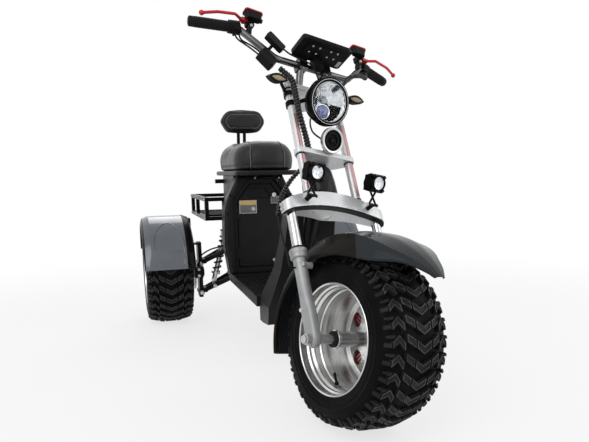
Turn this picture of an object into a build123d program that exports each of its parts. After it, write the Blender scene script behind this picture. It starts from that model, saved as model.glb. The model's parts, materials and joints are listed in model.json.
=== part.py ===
"""Electric three-wheeled scooter, millimetres.

Vehicle frame: X to the rider's left, -Y forward, +Z up, ground at Z = 0.
Y is counted from the straight-ahead front axle while the pieces are made;
the whole vehicle is then slid so that the origin is under its middle.

Steered pieces are drawn in the fork's own frame, as if the steering axis stood
upright: X to the rider's left, -Y forward, Z up the steering axis, with zero at
the height of the front axle. They are then set on the raked axis, turned left.
"""

import os
from math import asin, cos, degrees, pi, radians, sin, tan

from build123d import *

os.makedirs("parts", exist_ok=True)

# ---- Stance ---------------------------------------------------------------
WHEELBASE = 1386.0
HALF_TRACK = 400.0
RAKE = 31.5              # degrees, steering axis back from upright
STEER_AT_REST = 18.5     # degrees, parked with the bar turned to the left
FORK_OFFSET = 45.0       # legs and front axle ahead of the steering axis

# ---- Clearances and walls -------------------------------------------------
SEAT_FIT = 0.3           # between pieces that sit in each other
SPIN_FIT = 0.5           # radial, on axles and in the steering head
MOVE_GAP = 5.0           # between pieces that move past each other
SHELL = 4.0              # plastic mouldings
FENDER_WALL = 3.5

# ---- Wheels (all three share tyre and rim) --------------------------------
TYRE_R = 240.0
CROWN_HALF = 45.0
SHOULDER_R, SHOULDER_HALF = 228.0, 88.0
SIDEWALL_R, SIDEWALL_HALF = 195.0, 105.0
LUG_UP, LUG_LONG, LUG_SLANT = 11.0, 30.0, 24.0    # height, length round the tyre, degrees
LUGS, TYRE_SIDES = 16, 40          # lugs on each half, flats round the casing
lug_reach = CROWN_HALF * sin(radians(LUG_SLANT)) + LUG_LONG / 2 * cos(radians(LUG_SLANT))
LUG_CORNER = degrees(asin(lug_reach / TYRE_R))     # from a lug's middle to its leading corner
BEAD_R = 152.0
FLANGE_R, FLANGE_T = 162.0, 5.0
RIM_HALF = 100.0
RIM_WALL = 6.0
WELL_R, WELL_HALF = 140.0, 60.0
AXLE_R = 8.0
HUB_R = 20.0

# ---- Front fork, measured up the steering axis ----------------------------
FORK_HALF = 156.0        # legs out from the middle
STANCHION_R = 14.0
SLIDER_R = 18.0
COLLAR_R = 24.0
COLLAR_LOW, COLLAR_TOP = 226.0, 254.0
STANCHION_LOW = 120.0
LEG_FOOT = -22.0
YOKE_HALF = 182.0
YOKE_END_LOW, YOKE_END_TOP = 366.0, 398.0
YOKE_MID_LOW, YOKE_MID_TOP = 395.0, 441.0
YOKE_BOSS_R, YOKE_HUB_R, YOKE_HUB_Y = 26.0, 40.0, -20.0
UPPER_HALF = 90.0        # upper tubes out from the middle
UPPER_FWD = 55.0         # and ahead of the steering axis
UPPER_R = 13.0
MID_YOKE_Z, TOP_YOKE_Z, PLATE_T = 566.0, 800.0, 18.0
STEM_R, STEM_NUT_R, STEM_NUT_T = 18.0, 24.0, 12.0
HEAD_R = 30.0            # head tube of the frame
HEAD_GAP = 2.0           # between the head tube's ends and the yokes

# ---- Handlebar ------------------------------------------------------------
BAR_R = 11.0
BAR_BEND = 30.0
#             out    forward  up
BAR_ROUTE = [(0.0, 78.0, 880.0),
             (140.0, 84.0, 884.0),
             (245.0, 62.0, 985.0),
             (377.0, 24.0, 995.0)]
GRIP_R, GRIP_INNER = 15.5, 268.0
CLAMP_HALF, CLAMP_SIZE = 45.0, 30.0

# ---- Body, placed ahead of the rear axle -----------------------------------
BODY_TO_AXLE = 301.0     # front lip of the body to the rear axle
BODY_FRONT_Y = WHEELBASE - BODY_TO_AXLE
BODY_DEPTH = 80.0        # wide front surround
BOX_TO_AXLE = 96.0       # back of the battery bay to the rear axle
BOX_BACK_Y = WHEELBASE - BOX_TO_AXLE
UPPER_BOX_PAST = 54.0    # upper box, past the rear axle
BOX_TOP_BACK_Y = WHEELBASE + UPPER_BOX_PAST
BOX_HALF = 105.0
BOX_FLOOR, BOX_STEP, BODY_TOP = 254.3, 455.0, 683.7
#            half width, height: outline of the surround, from the top down
BODY_SIDE = [(100.0, BODY_TOP), (147.0, 590.0), (163.0, 533.0), (166.0, 388.0), (146.0, BOX_FLOOR)]
DOOR_HALF, DOOR_LOW, DOOR_SHOULDER, DOOR_TOP, DOOR_TOP_HALF = 100.0, 284.0, 574.0, 644.0, 46.0
DOOR_T, DOOR_DEEP = 10.0, 21.0
DOOR_Y = BODY_FRONT_Y + DOOR_DEEP
STEP_W, STEP_DEEP = 26.0, 17.0     # shallow step round the door
DOOR_CORNER = 14.0
HINGE_R, PIN_R, HINGE_LONG = 4.5, 2.5, 22.0
HINGE_Z = (DOOR_LOW + 61, DOOR_SHOULDER - 54)

# ---- Floor and shield -----------------------------------------------------
FLOOR_HALF, FLOOR_FRONT_Y, FLOOR_TOP = 140.0, 600.0, 240.0
RIM_UP, RIM_W = 14.0, 9.0
RIB_W, RIB_UP, RIB_PITCH = 6.0, 4.0, 20.0

# ---- Seat and back --------------------------------------------------------
LIP_LOW, LIP_T = BODY_TOP + SEAT_FIT, 20.0
SEAT_HALF, SEAT_AHEAD, SEAT_LONG, SEAT_THICK = 130.0, 155.0, 545.0, 122.0
SEAT_FRONT_Y = BODY_FRONT_Y - SEAT_AHEAD
SEAT_BACK_Y = SEAT_FRONT_Y + SEAT_LONG
SEAT_TOP = LIP_LOW + LIP_T + SEAT_THICK
BACK_HALF, BACK_SHOULDER, BACK_TALL, BACK_T = 111.0, 77.0, 104.0, 46.0
BACK_Y, BACK_Z = SEAT_BACK_Y - 38, SEAT_TOP + 112
POST_R, POST_HALF = 8.0, 15.0

# ---- Rear suspension ------------------------------------------------------
KNUCKLE_IN, KNUCKLE_T = 155.0, 18.0               # knuckle plate in from the wheel's middle
KNUCKLE_X = HALF_TRACK - KNUCKLE_IN
RAIL_HALF, RAIL_Z, RAIL_R = 62.0, 200.0, 16.0     # main rails, under the floor
UPPER_RAIL_Z, UPPER_RAIL_R = 345.0, 12.0
POST_TUBE_R, CROSS_R = 11.0, 10.0
ARM_R, PIVOT_R = 11.0, 13.0
#            outer x, outer z, inner x, inner z
UPPER_ARM = (KNUCKLE_X, TYRE_R + 30, RAIL_HALF + UPPER_RAIL_R + PIVOT_R + SEAT_FIT, UPPER_RAIL_Z)
LOWER_ARM = (KNUCKLE_X, TYRE_R - 110, RAIL_HALF + RAIL_R + PIVOT_R + SEAT_FIT, RAIL_Z)
ARM_SPREAD = 84.0        # inner pivots, fore and aft of the axle
DISC_R, DISC_T = 95.0, 4.0
SHOCK_FOOT_X, SHOCK_TOP_X, SPRING_R = KNUCKLE_X - 67, RAIL_HALF + 50, 22.0
EYE_R, EYE_HALF, EAR_R = 11.0, 12.7, 6.0
WIRE_R, COILS = 3.6, 6


def turned(profile):
    """Turn a closed profile of (radius, height) points about the Z axis."""
    with BuildPart() as piece:
        with BuildSketch(Plane.XZ) as half:
            with BuildLine():
                Polyline(*profile, close=True)
            make_face()
        revolve(half.sketch, axis=Axis.Z)
    return piece.part


def on_fork(piece):
    """Set a piece drawn in the fork's frame on the raked axis, turned to the rest angle."""
    return piece.moved(STEERING.location)


def rod(start, end, radius, mode=Mode.ADD):
    """Add a straight round bar from start to end to the part being built."""
    run = Vector(*end) - Vector(*start)
    with Locations(Plane(origin=start, z_dir=run).location):
        Cylinder(radius, run.length, align=(Align.CENTER, Align.CENTER, Align.MIN), mode=mode)


def bent_tube(points, bend, radius, mode=Mode.ADD):
    """Add a round tube along straight runs joined by bends to the part being built."""
    with BuildLine() as path:
        FilletPolyline(*points, radius=bend)
    with BuildSketch(Plane(origin=path.line @ 0, z_dir=path.line % 0)) as section:
        Circle(radius)
    sweep(section.sketch, path=path.line, mode=mode)


def cord(points, radius):
    """Add a cord to the part being built, its bends as wide as the shorter run at each allows."""
    at = [Vector(*point) for point in points]
    bends = []
    for before, here, after in zip(at, at[1:], at[2:]):
        run_in, run_out = here - before, after - here
        half_turn = radians(run_in.get_angle(run_out) / 2)
        bends.append(0.45 * min(run_in.length, run_out.length) / tan(half_turn))
    bent_tube(points, bends, radius)


# ---- Where the steering axis stands ---------------------------------------
turn, rake = radians(STEER_AT_REST), radians(RAKE)
lean = asin(sin(turn) * sin(rake))
# The turned wheel leans, so its axle height follows from the edge that touches the ground.
front_axle_z = max(r * cos(lean) + half * sin(lean)
                   for r, half in ((TYRE_R, CROWN_HALF), (SHOULDER_R, SHOULDER_HALF)))
STEERING = Plane(
    origin=(0, FORK_OFFSET * cos(rake), front_axle_z - FORK_OFFSET * cos(turn) * sin(rake)),
    x_dir=(cos(turn), sin(turn) * cos(rake), -sin(turn) * sin(rake)),
    z_dir=(0, sin(rake), cos(rake)),
)

pieces = []      # (label, solid, home: None for the vehicle frame, else "fork" or "wheel")


# ===========================================================================
# Wheels
# ===========================================================================

def make_tyre():
    """Tyre about the X axis: a many-sided casing under two rows of slanting lugs."""
    half = RIM_HALF - FLANGE_T - SEAT_FIT
    casing = [(half, FLANGE_R + 1), (SIDEWALL_HALF, SIDEWALL_R), (SHOULDER_HALF, SHOULDER_R - LUG_UP),
              (CROWN_HALF, TYRE_R - LUG_UP)]
    with BuildPart() as tyre:
        for x, radius in [(-x, r) for x, r in casing] + casing[::-1]:
            with BuildSketch(Plane.YZ.offset(x)):
                RegularPolygon(radius / cos(pi / TYRE_SIDES), TYRE_SIDES)
        loft(ruled=True)
        lug = tyre_lug()
        add([lug.rotate(Axis.X, 360 / LUGS * k + LUG_CORNER) for k in range(LUGS)])
        add([lug.mirror(Plane.YZ).rotate(Axis.X, 360 / LUGS * (k + 0.5) + LUG_CORNER) for k in range(LUGS)])
        rod((-SIDEWALL_HALF, 0, 0), (SIDEWALL_HALF, 0, 0), BEAD_R + SEAT_FIT, Mode.SUBTRACT)
    return tyre.part


def tyre_lug():
    """One lug of the +X half at the top of the tyre, from the crown over the shoulder."""
    deep = 2 * LUG_UP
    inner, outer = 6.0, SIDEWALL_HALF - 4
    drop = TYRE_R * (1 - cos(radians(LUG_CORNER)))
    with BuildPart() as lug:
        with BuildSketch(Plane.XZ) as section:
            with BuildLine():
                Polyline((inner, TYRE_R - deep), (inner, TYRE_R - drop), (CROWN_HALF, TYRE_R - drop),
                         (SHOULDER_HALF, SHOULDER_R - drop), (outer, SHOULDER_R - 2 * deep),
                         (SHOULDER_HALF - deep, SHOULDER_R - deep), close=True)
            make_face()
        extrude(section.sketch, amount=LUG_LONG / 2, both=True)
    return lug.part.rotate(Axis.Z, LUG_SLANT)


def rim_barrel():
    """Add the rim's barrel and flanges about the X axis to the part being built."""
    inner = BEAD_R - RIM_WALL
    with BuildSketch(Plane.XZ) as profile:
        with BuildLine():
            Polyline((-RIM_HALF, FLANGE_R), (-RIM_HALF + FLANGE_T, FLANGE_R), (-RIM_HALF + FLANGE_T, BEAD_R),
                     (-WELL_HALF - 12, BEAD_R), (-WELL_HALF, WELL_R), (WELL_HALF, WELL_R),
                     (WELL_HALF + 12, BEAD_R), (RIM_HALF - FLANGE_T, BEAD_R), (RIM_HALF - FLANGE_T, FLANGE_R),
                     (RIM_HALF, FLANGE_R), (RIM_HALF, inner), (WELL_HALF + 14, inner),
                     (WELL_HALF + 2, WELL_R - RIM_WALL), (-WELL_HALF - 2, WELL_R - RIM_WALL),
                     (-WELL_HALF - 14, inner), (-RIM_HALF, inner), close=True)
        make_face()
    revolve(profile.sketch, axis=Axis.X)


FRONT_HUB_RIGHT, FRONT_HUB_LEFT = -96.0, 118.0
FRONT_DISC_X = 114.0
WEB_X, WEB_T = 52.0, 10.0
WINDOW_R = 92.0

with BuildPart() as front_rim:
    rim_barrel()
    with BuildSketch(Plane.XZ):
        with BuildLine():
            Polyline((FRONT_HUB_RIGHT, AXLE_R + SPIN_FIT), (FRONT_HUB_RIGHT, HUB_R + 6),
                     (FRONT_HUB_RIGHT + 12, HUB_R + 6), (FRONT_HUB_RIGHT + 18, HUB_R),
                     (WEB_X - 24, HUB_R), (WEB_X - 14, HUB_R + 12), (WEB_X + 2, HUB_R + 16),
                     (WEB_X - 6, 70), (WEB_X + 4, 118), (WEB_X + 2, WELL_R - 1),
                     (WEB_X + 2 + WEB_T, WELL_R - 1), (WEB_X + 4 + WEB_T, 118), (WEB_X - 6 + WEB_T, 70),
                     (WEB_X + 4 + WEB_T, HUB_R + 10), (FRONT_HUB_LEFT, HUB_R + 8),
                     (FRONT_HUB_LEFT, AXLE_R + SPIN_FIT), close=True)
        make_face()
    revolve(axis=Axis.X)
    with BuildSketch(Plane.YZ.offset(WEB_X - 20)):
        with PolarLocations(WINDOW_R, 5):
            Ellipse(17, 11)
    extrude(amount=60, mode=Mode.SUBTRACT)
pieces.append(("front_rim", front_rim.part, "wheel"))
tyre = make_tyre()
pieces.append(("front_tyre", tyre, "wheel"))

with BuildPart() as front_disc:
    with BuildSketch(Plane.YZ.offset(FRONT_DISC_X - DISC_T / 2)):
        Circle(110)
        Circle(HUB_R + 9.3, mode=Mode.SUBTRACT)
        with PolarLocations(62, 6):
            Circle(13, mode=Mode.SUBTRACT)
    extrude(amount=DISC_T)
pieces.append(("front_disc", front_disc.part, "wheel"))

# Rear wheels: rim filled by the hub motor, brake disc inboard, axle bore through.
MOTOR_HALF, MOTOR_R = 62.0, 118.0
REAR_DISC_X = HALF_TRACK - 272.0
with BuildPart() as rear_hub:
    rim_barrel()
    with BuildSketch(Plane.XZ):
        with BuildLine():
            Polyline((-MOTOR_HALF - 8, AXLE_R + 2 + SPIN_FIT), (-MOTOR_HALF - 8, 40), (-MOTOR_HALF, 60),
                     (-MOTOR_HALF + 10, MOTOR_R), (-24, MOTOR_R), (-20, WELL_R - 1), (20, WELL_R - 1),
                     (24, MOTOR_R), (MOTOR_HALF - 10, MOTOR_R), (MOTOR_HALF, 60), (MOTOR_HALF + 8, 40),
                     (REAR_DISC_X - DISC_T / 2, 34), (REAR_DISC_X - DISC_T / 2, DISC_R),
                     (REAR_DISC_X + DISC_T / 2, DISC_R), (REAR_DISC_X + DISC_T / 2, AXLE_R + 2 + SPIN_FIT),
                     close=True)
        make_face()
    revolve(axis=Axis.X)
    with BuildSketch(Plane.YZ.offset(REAR_DISC_X - 10)):
        with PolarLocations(66, 6):
            Circle(12)
    extrude(amount=20, mode=Mode.SUBTRACT)

for side, name in ((-1, "right"), (1, "left")):
    place = Location((side * HALF_TRACK, WHEELBASE, TYRE_R), (0, 0, 180 if side > 0 else 0))
    pieces.append((f"rear_hub_{name}", rear_hub.part.moved(place), None))
    pieces.append((f"rear_tyre_{name}", tyre.moved(place), None))

# ===========================================================================
# Front fork
# ===========================================================================
FWD = -FORK_OFFSET
CASTING_HALF = 15.0
HOOD_EDGE_HALF, FENDER_LUG_Z = 130.0, 203.0
with BuildPart() as front_axle:
    rod((-FORK_HALF - 22, FWD, 0), (FORK_HALF + 22, FWD, 0), AXLE_R)
    for side in (-1, 1):
        leg_outside = FORK_HALF + CASTING_HALF
        rod((side * (leg_outside + SEAT_FIT), FWD, 0), (side * (leg_outside + 10), FWD, 0), 14)
        hub_end = FRONT_HUB_LEFT if side > 0 else -FRONT_HUB_RIGHT
        rod((side * (hub_end + SPIN_FIT), FWD, 0), (side * (FORK_HALF - CASTING_HALF - SEAT_FIT), FWD, 0), 13)
pieces.append(("front_axle", front_axle.part, "fork"))

with BuildPart() as fork_legs:
    for side in (-1, 1):
        x = side * FORK_HALF
        rod((x, FWD, LEG_FOOT + 90), (x, FWD, COLLAR_LOW + 2), SLIDER_R)
        rod((x, FWD, COLLAR_LOW), (x, FWD, COLLAR_TOP), COLLAR_R)
        with BuildSketch(Plane.YZ.offset(x)):
            with Locations((FWD, (LEG_FOOT + 120) / 2)):
                SlotOverall(120 - LEG_FOOT, 46, rotation=90)
        extrude(amount=CASTING_HALF, both=True)
        rod((side * (HOOD_EDGE_HALF + SEAT_FIT), FWD - 14, FENDER_LUG_Z),
            (x - side * 4, FWD - 14, FENDER_LUG_Z), 9)
        rod((x, FWD, STANCHION_LOW), (x, FWD, COLLAR_TOP + 1), STANCHION_R + SEAT_FIT, Mode.SUBTRACT)
        rod((x - 40, FWD, 0), (x + 40, FWD, 0), AXLE_R + SEAT_FIT, Mode.SUBTRACT)
pieces.append(("fork_legs", fork_legs.part, "fork"))

with BuildPart() as stanchions:
    for side in (-1, 1):
        rod((side * FORK_HALF, FWD, STANCHION_LOW + SEAT_FIT), (side * FORK_HALF, FWD, 404), STANCHION_R)
pieces.append(("stanchions", stanchions.part, "fork"))

with BuildPart() as lower_yoke:
    with BuildSketch(Plane.XZ):
        with BuildLine():
            ThreePointArc((-YOKE_HALF, YOKE_END_LOW), (0, YOKE_MID_LOW), (YOKE_HALF, YOKE_END_LOW))
            Line((YOKE_HALF, YOKE_END_LOW), (YOKE_HALF, YOKE_END_TOP))
            ThreePointArc((YOKE_HALF, YOKE_END_TOP), (0, YOKE_MID_TOP), (-YOKE_HALF, YOKE_END_TOP))
            Line((-YOKE_HALF, YOKE_END_TOP), (-YOKE_HALF, YOKE_END_LOW))
        make_face()
    extrude(amount=140, both=True)
    with BuildSketch():
        with Locations((-FORK_HALF, FWD), (FORK_HALF, FWD)):
            Circle(YOKE_BOSS_R)
        with Locations((0, YOKE_HUB_Y)):
            Circle(YOKE_HUB_R)
        make_hull()
    extrude(amount=YOKE_MID_TOP + 20, mode=Mode.INTERSECT)
    for side in (-1, 1):
        rod((side * FORK_HALF, FWD, 300), (side * FORK_HALF, FWD, 460), STANCHION_R + SEAT_FIT, Mode.SUBTRACT)
        rod((side * UPPER_HALF, -UPPER_FWD, 300), (side * UPPER_HALF, -UPPER_FWD, 460),
            UPPER_R + SEAT_FIT, Mode.SUBTRACT)
    rod((0, 0, 300), (0, 0, 460), STEM_R + SEAT_FIT, Mode.SUBTRACT)
pieces.append(("lower_yoke", lower_yoke.part, "fork"))


def yoke_plate(low, with_stem):
    """Flat yoke across the upper tubes, with its underside at the given height."""
    with BuildPart() as plate:
        with BuildSketch(Plane.XY.offset(low)):
            with Locations((-UPPER_HALF, -UPPER_FWD), (UPPER_HALF, -UPPER_FWD)):
                Circle(UPPER_R + 6)
            with Locations((0, 0)):
                Circle(STEM_R + 12)
            make_hull()
            with Locations((-UPPER_HALF, -UPPER_FWD), (UPPER_HALF, -UPPER_FWD)):
                Circle(UPPER_R + SEAT_FIT, mode=Mode.SUBTRACT)
            if with_stem:
                Circle(STEM_R + SEAT_FIT, mode=Mode.SUBTRACT)
        extrude(amount=PLATE_T)
        fillet(plate.edges().filter_by(GeomType.LINE).filter_by(Axis.X), 3)
    return plate.part


pieces.append(("mid_yoke", yoke_plate(MID_YOKE_Z, True), "fork"))
pieces.append(("top_yoke", yoke_plate(TOP_YOKE_Z, False), "fork"))

with BuildPart() as upper_tubes:
    for side in (-1, 1):
        rod((side * UPPER_HALF, -UPPER_FWD, 388), (side * UPPER_HALF, -UPPER_FWD, TOP_YOKE_Z + PLATE_T + 6),
            UPPER_R)
pieces.append(("upper_tubes", upper_tubes.part, "fork"))

with BuildPart() as steering_stem:
    rod((0, 0, YOKE_MID_LOW + 2), (0, 0, MID_YOKE_Z + PLATE_T + 4), STEM_R)
    nut_low = MID_YOKE_Z + PLATE_T + SEAT_FIT
    rod((0, 0, nut_low), (0, 0, nut_low + STEM_NUT_T), STEM_NUT_R)
pieces.append(("steering_stem", steering_stem.part, "fork"))


def hood(sections, wall):
    """Loft a creased hood round a wheel that stands at the origin with its axle along X.

    Each section: angle up from straight ahead, then radius past the tyre's and
    half width of the ridge, of the shoulder and of the lower edge.
    """
    with BuildPart() as shell:
        for angle, ridge, ridge_w, shoulder, shoulder_w, edge, edge_w in sections:
            a, ridge_r, shoulder_r, edge_r = radians(angle), TYRE_R + ridge, TYRE_R + shoulder, TYRE_R + edge
            with BuildSketch(Plane(origin=(0, 0, 0), x_dir=(1, 0, 0), z_dir=(0, -sin(a), -cos(a)))):
                with BuildLine():
                    Polyline((-edge_w, edge_r), (-shoulder_w, shoulder_r), (-ridge_w, ridge_r),
                             (ridge_w, ridge_r), (shoulder_w, shoulder_r), (edge_w, edge_r),
                             (edge_w - wall, edge_r), (shoulder_w - wall, shoulder_r - wall),
                             (ridge_w - wall / 2, ridge_r - wall), (wall / 2 - ridge_w, ridge_r - wall),
                             (wall - shoulder_w, shoulder_r - wall), (wall - edge_w, edge_r), close=True)
                make_face()
        loft(ruled=True)
    return shell.part


#                angle ridge r,w   shoulder r,w  edge r,w      (r past the tyre's)
FRONT_HOOD = [(9.0, 92.0, 5.0, 91.0, 9.0, 84.0, 14.0),
              (20.0, 81.0, 14.0, 74.0, 45.0, 58.0, 62.0),
              (34.0, 70.0, 26.0, 57.0, 84.0, 10.0, 112.0),
              (56.0, 56.0, 36.0, 43.0, 96.0, -14.0, HOOD_EDGE_HALF),
              (85.0, 46.0, 40.0, 34.0, 99.0, -20.0, HOOD_EDGE_HALF),
              (118.0, 43.0, 40.0, 33.0, 99.0, -12.0, HOOD_EDGE_HALF),
              (150.0, 48.0, 38.0, 40.0, 95.0, 8.0, 124.0),
              (172.0, 56.0, 34.0, 50.0, 88.0, 32.0, 112.0)]
with BuildPart() as front_fender:
    add(hood(FRONT_HOOD, FENDER_WALL).moved(Location((0, FWD, 0))))
    for side in (-1, 1):
        with Locations((side * (HOOD_EDGE_HALF - FENDER_WALL / 2), FWD - 14, FENDER_LUG_Z - 11)):
            Box(FENDER_WALL, 28, TYRE_R - FENDER_LUG_Z + 9, align=(Align.CENTER, Align.CENTER, Align.MIN))
pieces.append(("front_fender", front_fender.part, "fork"))

# ===========================================================================
# Handlebar and what it carries
# ===========================================================================
route = [(x, -f, z) for x, f, z in BAR_ROUTE]
full_route = [(-x, y, z) for x, y, z in reversed(route[1:])] + route[1:]
with BuildPart() as handlebar:
    bent_tube(full_route, BAR_BEND, BAR_R)
    for side in (-1, 1):
        x = side * CLAMP_HALF
        with Locations((x, route[1][1], route[1][2])):
            Box(CLAMP_SIZE, 36, 36)
        rod((x, -UPPER_FWD + 6, TOP_YOKE_Z + PLATE_T), (x, route[1][1], route[1][2]), 12)
    split(bisect_by=Plane.XY.offset(TOP_YOKE_Z + PLATE_T), keep=Keep.TOP)
pieces.append(("handlebar", handlebar.part, "fork"))


def bar_point(out):
    """Point on the straight outer run of the left half of the bar, at a distance out."""
    (x0, y0, z0), (x1, y1, z1) = route[2], route[3]
    k = (out - x0) / (x1 - x0)
    return (out, y0 + k * (y1 - y0), z0 + k * (z1 - z0))


def at_side(side, point):
    """Mirror a point of the left side to the side asked for."""
    return (side * point[0], point[1], point[2])


with BuildPart() as grips:
    for side in (-1, 1):
        rod(at_side(side, bar_point(GRIP_INNER)), at_side(side, bar_point(382)), GRIP_R)
        rod(at_side(side, bar_point(GRIP_INNER)), at_side(side, bar_point(GRIP_INNER + 5)), GRIP_R + 4)
        rod(at_side(side, bar_point(GRIP_INNER - 20)), at_side(side, bar_point(377 + SEAT_FIT)),
            BAR_R + SEAT_FIT, Mode.SUBTRACT)
pieces.append(("grips", grips.part, "fork"))

LEVER_PIVOT, LEVER_TIP = (238.0, -88.0, 990.0), (374.0, -84.0, 974.0)
LEVER_ROUTE = [(246.0, -92.0, 990.0), (274.0, -108.0, 986.0), (330.0, -102.0, 978.0), LEVER_TIP]
LEVER_HUB, LEVER_R, LEVER_BALL = 10.0, 4.5, 8.0
with BuildPart() as brake_levers:
    for side in (-1, 1):
        bent_tube([at_side(side, point) for point in LEVER_ROUTE], (12, 40), LEVER_R)
        with Locations(at_side(side, LEVER_TIP)):
            Sphere(LEVER_BALL)
        with Locations(at_side(side, LEVER_PIVOT)):
            Cylinder(7, LEVER_HUB)
        with Locations(at_side(side, (LEVER_PIVOT[0], LEVER_PIVOT[1] - 3, LEVER_PIVOT[2]))):
            Box(24, 12, LEVER_HUB - 1)
pieces.append(("brake_levers", brake_levers.part, "fork"))

MASTER = (206.0, -100.0, 1006.0)
MASTER_LONG, MASTER_WIDE, MASTER_TALL, CAP_T = 58.0, 28.0, 22.0, 7.0
clamp_share = (MASTER[0] + 8 - route[1][0]) / (route[2][0] - route[1][0])
master_clamp = [low + clamp_share * (high - low) for low, high in zip(route[1], route[2])]
with BuildPart() as master_cylinders:
    for side in (-1, 1):
        with BuildSketch(Plane.XY.offset(MASTER[2] - MASTER_TALL / 2)):
            with Locations((side * MASTER[0], MASTER[1])):
                RectangleRounded(MASTER_LONG - 10, MASTER_WIDE - 8, 8)
        with BuildSketch(Plane.XY.offset(MASTER[2] + MASTER_TALL / 2)):
            with Locations((side * MASTER[0], MASTER[1])):
                RectangleRounded(MASTER_LONG, MASTER_WIDE, 8)
        loft()
        with Locations(at_side(side, (MASTER[0] + 8, MASTER[1] + 16, MASTER[2] - 16))):
            Box(24, 20, 20)
        rod(at_side(side, (MASTER[0] + 8, MASTER[1] + 16, MASTER[2] - 20)), at_side(side, master_clamp), 9)
        rod(at_side(side, (MASTER[0] - 30, MASTER[1] + 2, MASTER[2] - 4)),
            at_side(side, (MASTER[0], MASTER[1] + 2, MASTER[2] - 4)), 7)
        ear_z = LEVER_PIVOT[2] + LEVER_HUB / 2 + SEAT_FIT + 4
        rod(at_side(side, (LEVER_PIVOT[0] - 16, MASTER[1] + 6, ear_z)),
            at_side(side, (LEVER_PIVOT[0] + 6, LEVER_PIVOT[1], ear_z)), 4)
    bent_tube(full_route, BAR_BEND, BAR_R + SEAT_FIT, Mode.SUBTRACT)
pieces.append(("master_cylinders", master_cylinders.part, "fork"))

with BuildPart() as master_caps:
    for side in (-1, 1):
        with BuildSketch(Plane.XY.offset(MASTER[2] + MASTER_TALL / 2 + SEAT_FIT)):
            with Locations((side * MASTER[0], MASTER[1])):
                RectangleRounded(MASTER_LONG + 4, MASTER_WIDE + 3, 9)
        extrude(amount=CAP_T)
    fillet(master_caps.edges().group_by(Axis.Z)[-1], 3)
pieces.append(("master_caps", master_caps.part, "fork"))

with BuildPart() as switch_pods:
    for side in (-1, 1):
        rod(at_side(side, bar_point(GRIP_INNER - 28)), at_side(side, bar_point(GRIP_INNER - 1)), 20)
        with Locations(at_side(side, bar_point(GRIP_INNER - 15))):
            with Locations((0, -6, -8)):
                Box(26, 22, 30)
    bent_tube(full_route, BAR_BEND, BAR_R + SEAT_FIT, Mode.SUBTRACT)
pieces.append(("switch_pods", switch_pods.part, "fork"))

DISPLAY_HALF, DISPLAY_FWD, DISPLAY_BACK, DISPLAY_Z, DISPLAY_T = 92.0, 184.0, 102.0, 898.0, 18.0
DISPLAY_RIBS = 4
with BuildPart() as display:
    with BuildSketch(Plane.XY.offset(DISPLAY_Z)):
        with Locations((0, -(DISPLAY_FWD + DISPLAY_BACK) / 2)):
            RectangleRounded(2 * DISPLAY_HALF, DISPLAY_FWD - DISPLAY_BACK, 10)
    extrude(amount=DISPLAY_T)
    fillet(display.edges().group_by(Axis.Z)[-1], 5)
    for k in range(DISPLAY_RIBS):
        with Locations((0, -DISPLAY_FWD, DISPLAY_Z + 3 + k * (DISPLAY_T - 8) / (DISPLAY_RIBS - 1))):
            Box(2 * DISPLAY_HALF - 30, 2.4, 1.6)
    with Locations((0, -(DISPLAY_FWD + DISPLAY_BACK) / 2, DISPLAY_Z - 1.5)):
        Box(2 * DISPLAY_HALF - 50, DISPLAY_FWD - DISPLAY_BACK - 30, 3)
    with Locations((0, -DISPLAY_BACK - 8, DISPLAY_Z - 16)):
        Box(34, 24, 34)
pieces.append(("display", display.part, "fork"))

# Lamps look level and straight ahead: their own axis is the vehicle's level.
LAMP = (0.0, -131.0, 724.0)
LAMP_R, LAMP_DEEP = 71.0, 74.0
def level_plane(point):
    """Plane at a point of the fork's frame whose Z looks level and forward."""
    return Plane(origin=point, x_dir=(1, 0, 0), z_dir=(0, -cos(rake), -sin(rake)))


BUCKET = [(0, -LAMP_DEEP), (38, -LAMP_DEEP), (60, -50), (LAMP_R - 3, -24), (LAMP_R, -22),
          (LAMP_R, -2), (LAMP_R - 2, 0), (LAMP_R - 5, 0), (LAMP_R - 5, -17), (56, -26), (34, -42), (0, -48)]
PROJECTOR_R, PROJECTOR_DOWN = 22.0, 27.0
with BuildPart() as headlamp:
    add(turned(BUCKET).moved(level_plane(LAMP).location))
    with BuildSketch(level_plane(LAMP).offset(-50)):
        with Locations((0, -PROJECTOR_DOWN)):
            Circle(PROJECTOR_R)
    extrude(amount=28)
    for side in (-1, 1):
        rod((side * 58, LAMP[1] + 26, LAMP[2] + 16), (side * UPPER_HALF, -UPPER_FWD, LAMP[2] + 20), 6)
        rod((side * UPPER_HALF, -UPPER_FWD, LAMP[2] + 12), (side * UPPER_HALF, -UPPER_FWD, LAMP[2] + 28),
            UPPER_R + 4)
        rod((side * UPPER_HALF, -UPPER_FWD, LAMP[2] - 60), (side * UPPER_HALF, -UPPER_FWD, LAMP[2] + 60),
            UPPER_R + SEAT_FIT, Mode.SUBTRACT)
pieces.append(("headlamp", headlamp.part, "fork"))

with BuildPart() as headlamp_lens:
    with BuildSketch(level_plane(LAMP).offset(-16)):
        Circle(LAMP_R - 5 - SEAT_FIT)
    extrude(amount=14)
    fillet(headlamp_lens.faces().sort_by(Axis.Y)[0].edges(), 6)
pieces.append(("headlamp_lens", headlamp_lens.part, "fork"))

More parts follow.
